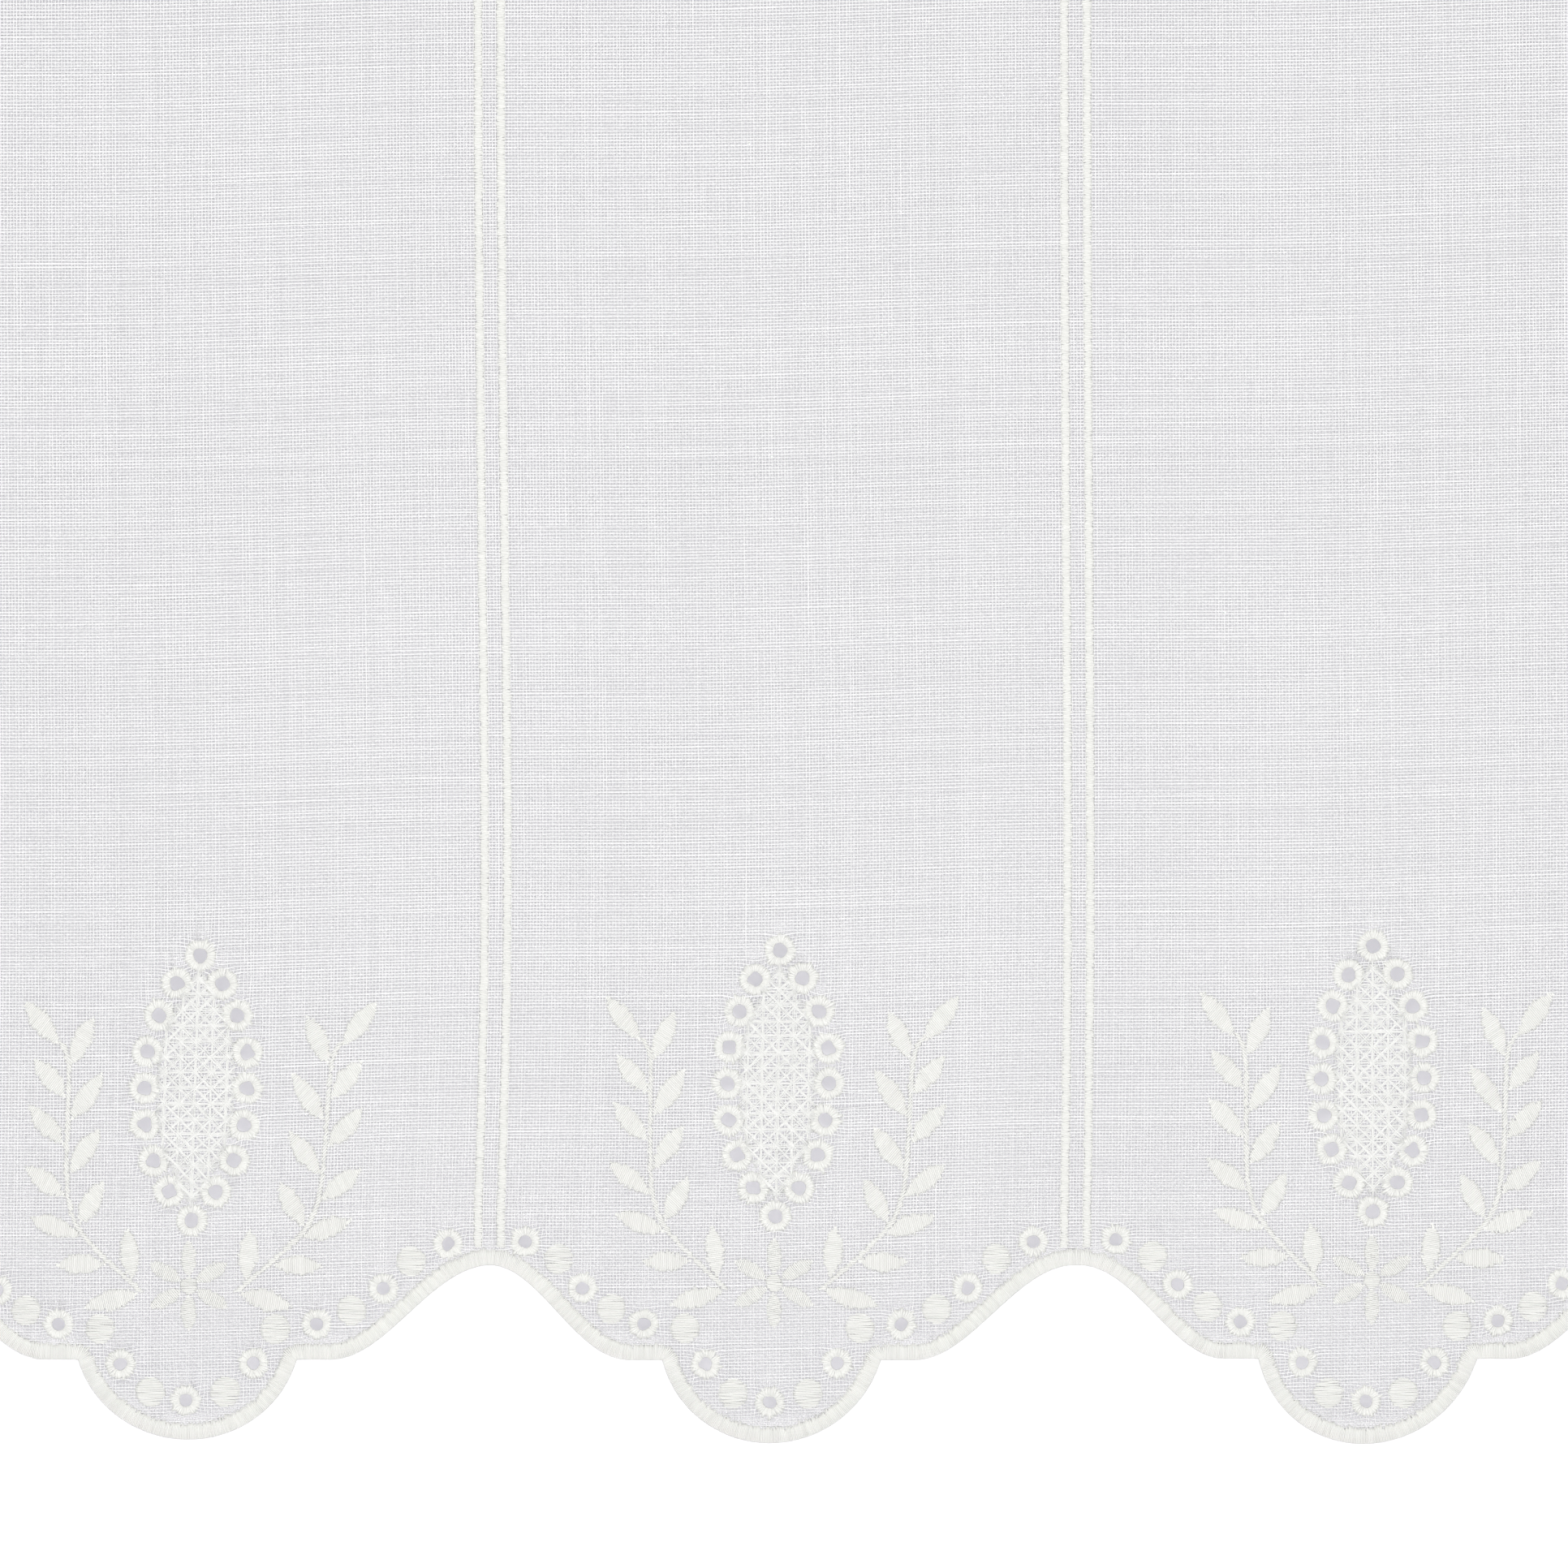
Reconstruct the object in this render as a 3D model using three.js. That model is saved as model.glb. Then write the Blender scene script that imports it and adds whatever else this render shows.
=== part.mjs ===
// Cafe curtain: one hanging panel of fine open cloth, embroidered in white, with a scalloped hem.
// Millimetres, +Z up. The top edge lies on Z = 0, and the embroidered face looks along -Y.
// Outlines are drawn in the panel's own plane, x across and y up, and turned upright at the end.
// The panel is one closed skin: flat faces front and back, with every raised or bored shape let in.

import * as THREE from 'three';
import { mergeVertices } from 'three/addons/utils/BufferGeometryUtils.js';

// Panel
const REPEAT_WIDTH = 160;
const HALF_REPEAT = REPEAT_WIDTH / 2;
const PANEL_HEIGHT = 450;
const CLOTH_THICKNESS = 1;
const TOP_HEM_DEPTH = 25;
const SIDE_HEM_WIDTH = 6;
const HEM_FOLD_THICKNESS = 0.8;
const HEM_FOLD_CHAMFER = 0.3;
const EDGE_MARGIN = 0.4;

// Scalloped hem, with heights above the lowest point of a lobe
const NOTCH_HALF_WIDTH = 29.8;
const LOBE_DEPTH = 22.9;
const VALLEY_HALF_LENGTH = 41;
const VALLEY_RISE = 26.2;
const EDGING_WIDTH = 4.2;
const EDGING_RELIEF = 0.6;
const EDGING_CHAMFER = 0.6;

// Twin stitched lines on each boundary between repeats
const LINE_SPACING = 6.2;
const LINE_WIDTH = 2.2;
const LINE_RELIEF = 0.5;
const BOW_START = 56;
const BOW_LENGTH = 330;

// Eyelets and dots
const EYELET_BORE = 4.2;
const EYELET_RIM = 8.2;
const HEM_EYELET_BORE = 4;
const HEM_EYELET_RIM = 7.8;
const DOT_DIAMETER = 7.6;
const ROUND_RELIEF = 0.7;
const DOT_CHAMFER = 1.2;

// Oval medallion of eyelets
const MEDALLION_HEIGHT = 98.7;
const MEDALLION_HALF_HEIGHT = 36.2;
const MEDALLION_HALF_WIDTH = 14;
const MEDALLION_POINTEDNESS = 2.5;
const MEDALLION_EYELETS = 16;

// Leaf sprays and rosette
const LEAF_WIDTH = 5.4;
const LEAF_RELIEF = 0.7;
const LEAF_CHAMFER = 1.1;
const LEAF_GAP = 0.35;
const STEM_WIDTH = 1.7;
const STEM_RELIEF = 0.5;
const SLIM_CHAMFER = 0.3;
const ROSETTE_HEIGHT = 44;
const ROSETTE_PETALS = 6;
const PETAL_ROOT = 3.7;
const PETAL_LENGTH = 9.4;
const PETAL_WIDTH = 3.4;
const PETAL_CHAMFER = 0.7;
const KNOT_DIAMETER = 4.2;

// Heights above a lobe over which the hem's drift fades out, and its level change settles
const DRIFT_ZONE = 50;
const LIFT_ZONE = 60;

// Facets
const ROUND_STEPS = 10;
const ROUND_TURN = 0.2;
const LEAF_STEPS = 4;
const LOBE_STEPS = 12;
const VALLEY_STEPS = 7;
const STEM_STEPS = 12;
const LINE_STEPS = 7;

// How each repeat hangs: sideways shift and lean of its motifs, drift and level of its hem
const REPEATS = [
  { axis: -REPEAT_WIDTH, motifShift: -0.2, lean: 0.035, hemShift: -2.2, motifLift: -1.3, hemLift: 1.5 },
  { axis: 0, motifShift: -1.3, lean: 0.016, hemShift: -3.5, motifLift: 0, hemLift: 0.5 },
  { axis: REPEAT_WIDTH, motifShift: 1.2, lean: 0, hemShift: -1.5, motifLift: 1.3, hemLift: 0.3 },
];
const HALF_WIDTH = (REPEATS.length * REPEAT_WIDTH) / 2;

// Stitched lines by place across the panel, with the sideways bow each takes on its way down
const LINES = [
  { x: -HALF_WIDTH + LINE_SPACING / 2, bow: 0.5 },
  { x: -HALF_REPEAT - LINE_SPACING / 2, bow: 1.8 },
  { x: -HALF_REPEAT + LINE_SPACING / 2, bow: 1.8 },
  { x: HALF_REPEAT - LINE_SPACING / 2, bow: 0.9 },
  { x: HALF_REPEAT + LINE_SPACING / 2, bow: 0.9 },
  { x: HALF_WIDTH - LINE_SPACING / 2, bow: 0.5 },
];

// Row above the hem, from a lobe's axis outwards; both sides of the axis are alike
const HEM_ROW = [
  { stitch: 'eyelet', across: 0, height: 11.1 },
  { stitch: 'dot', across: 10.2, height: 13.6 },
  { stitch: 'eyelet', across: 18, height: 21.8 },
  { stitch: 'dot', across: 23.9, height: 31.6 },
  { stitch: 'eyelet', across: 35, height: 32.9 },
  { stitch: 'dot', across: 44.4, height: 36.9 },
  { stitch: 'eyelet', across: 52.6, height: 42.8 },
  { stitch: 'dot', across: 59.8, height: 50.7 },
  { stitch: 'eyelet', across: 69.5, height: 55.4 },
];

// Stem of a spray, from its root upwards; the right-hand one spreads out a little more with height
const RIGHT_SPREAD = 0.03;
const STEM = [
  { across: 13.3, height: 42.5 },
  { across: 29.3, height: 58.3 },
  { across: 33.7, height: 68.5 },
  { across: 34.6, height: 82 },
  { across: 34.8, height: 104 },
  { across: 37, height: 110.8 },
];

// Leaves of a spray: place along the stem, turn outwards from upright in degrees, and length
const LEAVES = [
  { along: 1, turn: 38, length: 15 },
  { along: 0.8, turn: 39, length: 13.5 },
  { along: 0.63, turn: 42, length: 14.1 },
  { along: 0.44, turn: 52, length: 13.8 },
  { along: 0.295, turn: 70, length: 14.4 },
  { along: 0.157, turn: 92, length: 13.5 },
  { along: 0, turn: 105, length: 15 },
  { along: 0.92, turn: -24, length: 14.4 },
  { along: 0.72, turn: -34, length: 15.4 },
  { along: 0.53, turn: -35, length: 14.4 },
  { along: 0.33, turn: -29, length: 13.4 },
  { along: 0.05, turn: 5, length: 13.8 },
];

const LOBE_RADIUS = (NOTCH_HALF_WIDTH ** 2 + LOBE_DEPTH ** 2) / (2 * LOBE_DEPTH);
const SHOULDER_END = HALF_REPEAT - VALLEY_HALF_LENGTH;
const FRONT = CLOTH_THICKNESS / 2;
const BACK = -FRONT;
const LINE_END = LOBE_DEPTH + VALLEY_RISE + EDGING_WIDTH + 2 * EDGE_MARGIN - PANEL_HEIGHT;

// Outlines

/** A regular outline round a centre, anticlockwise. */
function disc(centre, diameter) {
  return new THREE.Path()
    .absarc(centre.x, centre.y, diameter / 2, ROUND_TURN, ROUND_TURN + 2 * Math.PI)
    .getSpacedPoints(ROUND_STEPS)
    .slice(1);
}

/** A leaf's outline, starting a little way out from a point, turned from upright in degrees. */
function leafOutline(origin, start, turn, length, width) {
  const path = new THREE.Path();
  path.moveTo(0, 0);
  path.quadraticCurveTo(width, length / 2, 0, length);
  path.quadraticCurveTo(-width, length / 2, 0, 0);
  const angle = -THREE.MathUtils.degToRad(turn);
  const pivot = new THREE.Vector2();
  return path.getPoints(LEAF_STEPS).slice(1).map((point) => {
    point.y += start;
    return point.rotateAround(pivot, angle).add(origin);
  });
}

/** Points at a distance to the left of a line of points, mitred at its corners. */
function beside(points, distance, closed = false) {
  const last = points.length - 1;
  return points.map((point, i) => {
    const before = points[i > 0 ? i - 1 : last];
    const after = points[i < last ? i + 1 : 0];
    const arriving = point.clone().sub(before).normalize();
    const leaving = after.clone().sub(point).normalize();
    if (!closed && i === 0) {
      arriving.copy(leaving);
    }
    if (!closed && i === last) {
      leaving.copy(arriving);
    }
    const way = arriving.add(leaving);
    const reach = (2 * distance) / way.lengthSq();
    return new THREE.Vector2(-way.y, way.x).multiplyScalar(reach).add(point);
  });
}

/** The outline of a band along a line of points, from one distance to another on its left. */
function band(points, from, to) {
  return [...beside(points, from), ...beside(points, to).reverse()];
}

/** A point of a repeat, given from its axis and its lobe's lowest point, where the panel hangs. */
function hung(repeat, across, height) {
  const hemShare = Math.max(0, 1 - height / DRIFT_ZONE);
  const liftShare = Math.min(1, height / LIFT_ZONE);
  const inside = 1 - (across / HALF_REPEAT) ** 4;
  const motifDrift = repeat.motifShift + repeat.lean * (height - MEDALLION_HEIGHT);
  const drift = THREE.MathUtils.lerp(motifDrift, repeat.hemShift, hemShare);
  const lift = THREE.MathUtils.lerp(repeat.hemLift, repeat.motifLift, liftShare);
  return new THREE.Vector2(
    repeat.axis + across + drift * inside,
    height - PANEL_HEIGHT + lift * inside,
  );
}

/** Height of the hem above a lobe's lowest point, at a distance from the repeat's axis. */
function hemHeight(across) {
  const distance = Math.abs(across);
  if (distance <= NOTCH_HALF_WIDTH) {
    return LOBE_RADIUS - Math.sqrt(LOBE_RADIUS ** 2 - distance ** 2);
  }
  const share = Math.max(0, distance - SHOULDER_END) / VALLEY_HALF_LENGTH;
  return LOBE_DEPTH + (VALLEY_RISE * (1 - Math.cos(Math.PI * share))) / 2;
}

/** Places across one repeat where the hem's outline has its points, from valley to valley. */
function hemStations() {
  const half = [];
  const lobeAngle = Math.asin(NOTCH_HALF_WIDTH / LOBE_RADIUS);
  for (let i = 1; i < LOBE_STEPS / 2; i += 1) {
    half.push(LOBE_RADIUS * Math.sin((lobeAngle * 2 * i) / LOBE_STEPS));
  }
  half.push(NOTCH_HALF_WIDTH);
  for (let i = 0; i <= VALLEY_STEPS; i += 1) {
    half.push(SHOULDER_END + (VALLEY_HALF_LENGTH * i) / VALLEY_STEPS);
  }
  const left = half.map((across) => -across).reverse();
  return [...left, 0, ...half];
}

/** The hem's line across the whole panel, from left to right. */
function hemLine() {
  const line = [];
  for (const repeat of REPEATS) {
    const stations = line.length === 0 ? hemStations() : hemStations().slice(1);
    for (const across of stations) {
      line.push(hung(repeat, across, hemHeight(across)));
    }
  }
  return line;
}

/** The hem's line, drawn in a little from the panel's sides. */
function edgingLine() {
  const reach = HALF_WIDTH - EDGE_MARGIN;
  const line = hemLine();
  line[0].x = -reach;
  line[line.length - 1].x = reach;
  return line;
}

/** The panel's own outline. */
function clothOutline() {
  const top = [new THREE.Vector2(HALF_WIDTH, 0), new THREE.Vector2(-HALF_WIDTH, 0)];
  return [...hemLine(), ...top];
}

/** The folds along the top and both sides, seen from the front. */
function foldOutline() {
  const outer = HALF_WIDTH - EDGE_MARGIN;
  const inner = HALF_WIDTH - SIDE_HEM_WIDTH;
  const corners = [
    [-inner, LINE_END],
    [-inner, -TOP_HEM_DEPTH],
    [inner, -TOP_HEM_DEPTH],
    [inner, LINE_END],
    [outer, LINE_END],
    [outer, -EDGE_MARGIN],
    [-outer, -EDGE_MARGIN],
    [-outer, LINE_END],
  ];
  return corners.map(([x, y]) => new THREE.Vector2(x, y));
}

/** One stitched line, bowed a little sideways, from the top edge down to the hem's edging. */
function lineOutline({ x, bow }) {
  const points = [];
  for (let i = 0; i <= LINE_STEPS; i += 1) {
    const y = THREE.MathUtils.lerp(LINE_END, -EDGE_MARGIN, i / LINE_STEPS);
    const share = THREE.MathUtils.clamp((-y - BOW_START) / BOW_LENGTH, 0, 1);
    points.push(new THREE.Vector2(x + bow * Math.sin(Math.PI * share ** 2), y));
  }
  return band(points, -LINE_WIDTH / 2, LINE_WIDTH / 2);
}

/** The closed oval, pointed above and below, that the medallion's eyelets follow. */
class PointedOval extends THREE.Curve {
  getPoint(t, target = new THREE.Vector2()) {
    const rising = t > 0.5;
    const height = rising ? 4 * t - 3 : 1 - 4 * t;
    const breadth = 1 - Math.abs(height) ** MEDALLION_POINTEDNESS;
    const side = rising ? -1 : 1;
    return target.set(side * MEDALLION_HALF_WIDTH * breadth, MEDALLION_HALF_HEIGHT * height);
  }
}

/** Centres of one kind of stitch in the row above a repeat's hem, on both sides of its axis. */
function hemRowOf(repeat, stitch) {
  const centres = [];
  for (const place of HEM_ROW.filter((row) => row.stitch === stitch)) {
    centres.push(hung(repeat, place.across, place.height));
    if (place.across > 0) {
      centres.push(hung(repeat, -place.across, place.height));
    }
  }
  return centres;
}

/** Every eyelet of a repeat, as the outlines of its rim and of its bore. */
function eyeletsOf(repeat) {
  const ring = new PointedOval().getSpacedPoints(MEDALLION_EYELETS).slice(1);
  const medallion = ring.map((point) => {
    const centre = hung(repeat, point.x, MEDALLION_HEIGHT + point.y);
    return { rim: disc(centre, EYELET_RIM), bore: disc(centre, EYELET_BORE) };
  });
  const row = hemRowOf(repeat, 'eyelet').map((centre) => (
    { rim: disc(centre, HEM_EYELET_RIM), bore: disc(centre, HEM_EYELET_BORE) }
  ));
  return [...medallion, ...row];
}

// Raised shapes: the outline of the foot, the height above the face, and the slope's width

/** Where a leaf starts: just clear of the stem, on the side that the leaf turns to. */
function leafRoot(stem, along, turn) {
  const way = stem.getTangentAt(along);
  const lean = THREE.MathUtils.radToDeg(Math.atan2(way.x, way.y));
  const offset = Math.sign(turn - lean) * (STEM_WIDTH / 2 + LEAF_GAP);
  return new THREE.Vector2(way.y, -way.x).multiplyScalar(offset).add(stem.getPointAt(along));
}

/** The middle line of a spray's stem: side is 1 for the right, -1 for the left. */
function stemOf(repeat, side) {
  const spread = side > 0 ? RIGHT_SPREAD : 0;
  const points = STEM.map(({ across, height }) => (
    hung(repeat, side * (across + spread * (height - STEM[0].height)), height)
  ));
  return new THREE.SplineCurve(points);
}

/** The stem and leaves on one side of a repeat. */
function sprayOf(repeat, side) {
  const stem = stemOf(repeat, side);
  const stemFoot = band(stem.getSpacedPoints(STEM_STEPS), -STEM_WIDTH / 2, STEM_WIDTH / 2);
  const leaves = LEAVES.map(({ along, turn, length }) => ({
    foot: leafOutline(leafRoot(stem, along, side * turn), 0, side * turn, length, LEAF_WIDTH),
    relief: LEAF_RELIEF,
    slope: LEAF_CHAMFER,
  }));
  return [{ foot: stemFoot, relief: STEM_RELIEF, slope: SLIM_CHAMFER }, ...leaves];
}

/** The knot and petals between the two sprays of a repeat. */
function rosetteOf(repeat) {
  const centre = hung(repeat, 0, ROSETTE_HEIGHT);
  const shapes = [{ foot: disc(centre, KNOT_DIAMETER), relief: LEAF_RELIEF, slope: PETAL_CHAMFER }];
  for (let i = 0; i < ROSETTE_PETALS; i += 1) {
    const turn = (360 * i) / ROSETTE_PETALS;
    const foot = leafOutline(centre, PETAL_ROOT, turn, PETAL_LENGTH, PETAL_WIDTH);
    shapes.push({ foot, relief: LEAF_RELIEF, slope: PETAL_CHAMFER });
  }
  return shapes;
}

function dotsOf(repeat) {
  return hemRowOf(repeat, 'dot').map((centre) => (
    { foot: disc(centre, DOT_DIAMETER), relief: ROUND_RELIEF, slope: DOT_CHAMFER }
  ));
}

/** Every shape that stands on the front face, apart from the eyelets' rims. */
function frontShapes() {
  const edging = band(edgingLine(), EDGE_MARGIN, EDGE_MARGIN + EDGING_WIDTH);
  const shapes = [{ foot: edging, relief: EDGING_RELIEF, slope: EDGING_CHAMFER }];
  for (const line of LINES) {
    shapes.push({ foot: lineOutline(line), relief: LINE_RELIEF, slope: SLIM_CHAMFER });
  }
  for (const repeat of REPEATS) {
    shapes.push(...sprayOf(repeat, 1), ...sprayOf(repeat, -1), ...rosetteOf(repeat), ...dotsOf(repeat));
  }
  return shapes.map((shape) => (
    THREE.ShapeUtils.isClockWise(shape.foot) ? { ...shape, foot: shape.foot.reverse() } : shape
  ));
}

// Skin

function at(point, depth) {
  return new THREE.Vector3(point.x, point.y, depth);
}

/** Corners of the triangles of a flat face that looks forward, with holes. */
function face(outline, holes, depth) {
  const corners = [outline, ...holes].flat();
  const triangles = THREE.ShapeUtils.triangulateShape(outline, holes);
  return triangles.flatMap((triangle) => triangle.map((i) => at(corners[i], depth)));
}

/** Corners of the triangles of a wall from one loop up to another, looking away from their middle. */
function wall(lower, lowerDepth, upper, upperDepth) {
  return lower.flatMap((point, i) => {
    const next = (i + 1) % lower.length;
    const a = at(point, lowerDepth);
    const b = at(lower[next], lowerDepth);
    const c = at(upper[next], upperDepth);
    const d = at(upper[i], upperDepth);
    return [a, b, c, a.clone(), c.clone(), d];
  });
}

/** The same triangles looking the other way. */
function turned(corners) {
  return corners.slice().reverse();
}

/** The sloping sides and flat top of a shape on a face. */
function raised({ foot, relief, slope }, depth, side) {
  const crest = beside(foot, slope, true);
  const top = depth + side * relief;
  const skin = [...wall(foot, depth, crest, top), ...face(crest, [], top)];
  return side > 0 ? skin : turned(skin);
}

/** The sloping rim of an eyelet and its bore through to the back. */
function eyeletSkin({ rim, bore }) {
  const top = FRONT + ROUND_RELIEF;
  return [...wall(rim, FRONT, bore, top), ...turned(wall(bore, BACK, bore, top))];
}

/** The whole panel as one closed geometry. */
function panelGeometry() {
  const outline = clothOutline();
  const shapes = frontShapes();
  const eyelets = REPEATS.flatMap(eyeletsOf);
  const fold = { foot: foldOutline(), relief: HEM_FOLD_THICKNESS, slope: HEM_FOLD_CHAMFER };
  const frontHoles = [...shapes.map(({ foot }) => foot), ...eyelets.map(({ rim }) => rim)];
  const backHoles = [fold.foot, ...eyelets.map(({ bore }) => bore)];
  const corners = [
    ...face(outline, frontHoles, FRONT),
    ...turned(face(outline, backHoles, BACK)),
    ...wall(outline, BACK, outline, FRONT),
    ...shapes.flatMap((shape) => raised(shape, FRONT, 1)),
    ...raised(fold, BACK, -1),
    ...eyelets.flatMap(eyeletSkin),
  ];
  const geometry = mergeVertices(new THREE.BufferGeometry().setFromPoints(corners));
  geometry.computeVertexNormals();
  return geometry;
}

const whiteCloth = new THREE.MeshStandardMaterial({ color: 0xe9e9ea, roughness: 0.9, metalness: 0 });

const panel = new THREE.Mesh(panelGeometry(), whiteCloth);
panel.name = 'embroidered_panel';
panel.rotation.x = Math.PI / 2;

const curtain = new THREE.Group();
curtain.add(panel);

export default curtain;
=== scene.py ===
"""Cafe curtain: an open plain weave with whitework embroidery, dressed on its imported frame.

Lengths are in metres. X runs across the curtain, Z runs up to its top edge at zero, and the
embroidered face looks along -Y. Yarns and stitches are real threads, joined into a few meshes.
"""

import logging
import math
from dataclasses import dataclass, field
from enum import Enum

import bpy
import numpy as np
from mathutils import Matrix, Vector


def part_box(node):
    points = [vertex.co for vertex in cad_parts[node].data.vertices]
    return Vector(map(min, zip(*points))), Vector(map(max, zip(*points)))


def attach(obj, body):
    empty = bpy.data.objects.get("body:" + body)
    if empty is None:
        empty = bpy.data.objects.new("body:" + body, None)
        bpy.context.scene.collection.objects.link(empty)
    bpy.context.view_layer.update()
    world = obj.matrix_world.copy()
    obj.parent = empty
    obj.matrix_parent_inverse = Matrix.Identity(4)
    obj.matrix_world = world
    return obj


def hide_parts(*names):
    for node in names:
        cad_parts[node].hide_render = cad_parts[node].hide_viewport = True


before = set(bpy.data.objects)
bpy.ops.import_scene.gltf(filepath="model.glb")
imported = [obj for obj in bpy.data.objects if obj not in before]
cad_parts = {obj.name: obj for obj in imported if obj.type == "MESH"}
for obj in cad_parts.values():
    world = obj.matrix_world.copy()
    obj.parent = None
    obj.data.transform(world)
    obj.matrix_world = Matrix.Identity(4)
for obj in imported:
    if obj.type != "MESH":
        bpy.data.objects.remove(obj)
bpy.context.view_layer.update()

LOG = logging.getLogger("cafe_curtain")
MM = 0.001
PANEL_NODE = "embroidered_panel"
FORWARD = np.array([0.0, -1.0, 0.0])
GOLDEN = 0.618
PANEL_HEIGHT = 450 * MM


class Stitch(Enum):
    """What stands at a place in the row above the hem."""

    EYELET = "eyelet"
    DOT = "dot"


class Run(Enum):
    """The way that a yarn runs in the weave."""

    WARP = "warp"
    WEFT = "weft"


class Side(Enum):
    """A side of a repeat's axis, as the sign of x."""

    LEFT = -1
    RIGHT = 1


@dataclass(frozen=True)
class Repeat:
    """One repeat of the design, and how its stretch of cloth hangs."""

    axis: float
    motif_shift: float
    lean: float
    hem_shift: float
    motif_lift: float
    hem_lift: float


@dataclass(frozen=True)
class Disc:
    """A round place in the cloth: its centre, and its inner and outer radius."""

    x: float
    z: float
    inner: float
    outer: float


@dataclass(frozen=True)
class HemPlace:
    """A stitch of the row above the hem, from a lobe's axis and its lowest point."""

    stitch: Stitch
    across: float
    height: float


@dataclass(frozen=True)
class LeafPlace:
    """A leaf of a spray: share of the way along the stem, degrees out from upright, length."""

    along: float
    turn: float
    length: float


@dataclass(frozen=True)
class LeafShape:
    """One leaf or petal where it hangs: its root, the way it points, its length and breadth."""

    root: np.ndarray
    way: np.ndarray
    length: float
    breadth: float
    bluntness: float = 2.0

    def half_breadth(self, at: np.ndarray) -> np.ndarray:
        """Half the leaf's breadth, at distances from its root."""
        off = np.abs(2 * at / self.length - 1)
        return self.breadth / 2 * np.maximum(0.0, 1 - off**self.bluntness)


@dataclass(frozen=True)
class StitchedLine:
    """A stitched line down the curtain, and the sideways bow that it takes."""

    x: float
    bow: float


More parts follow.
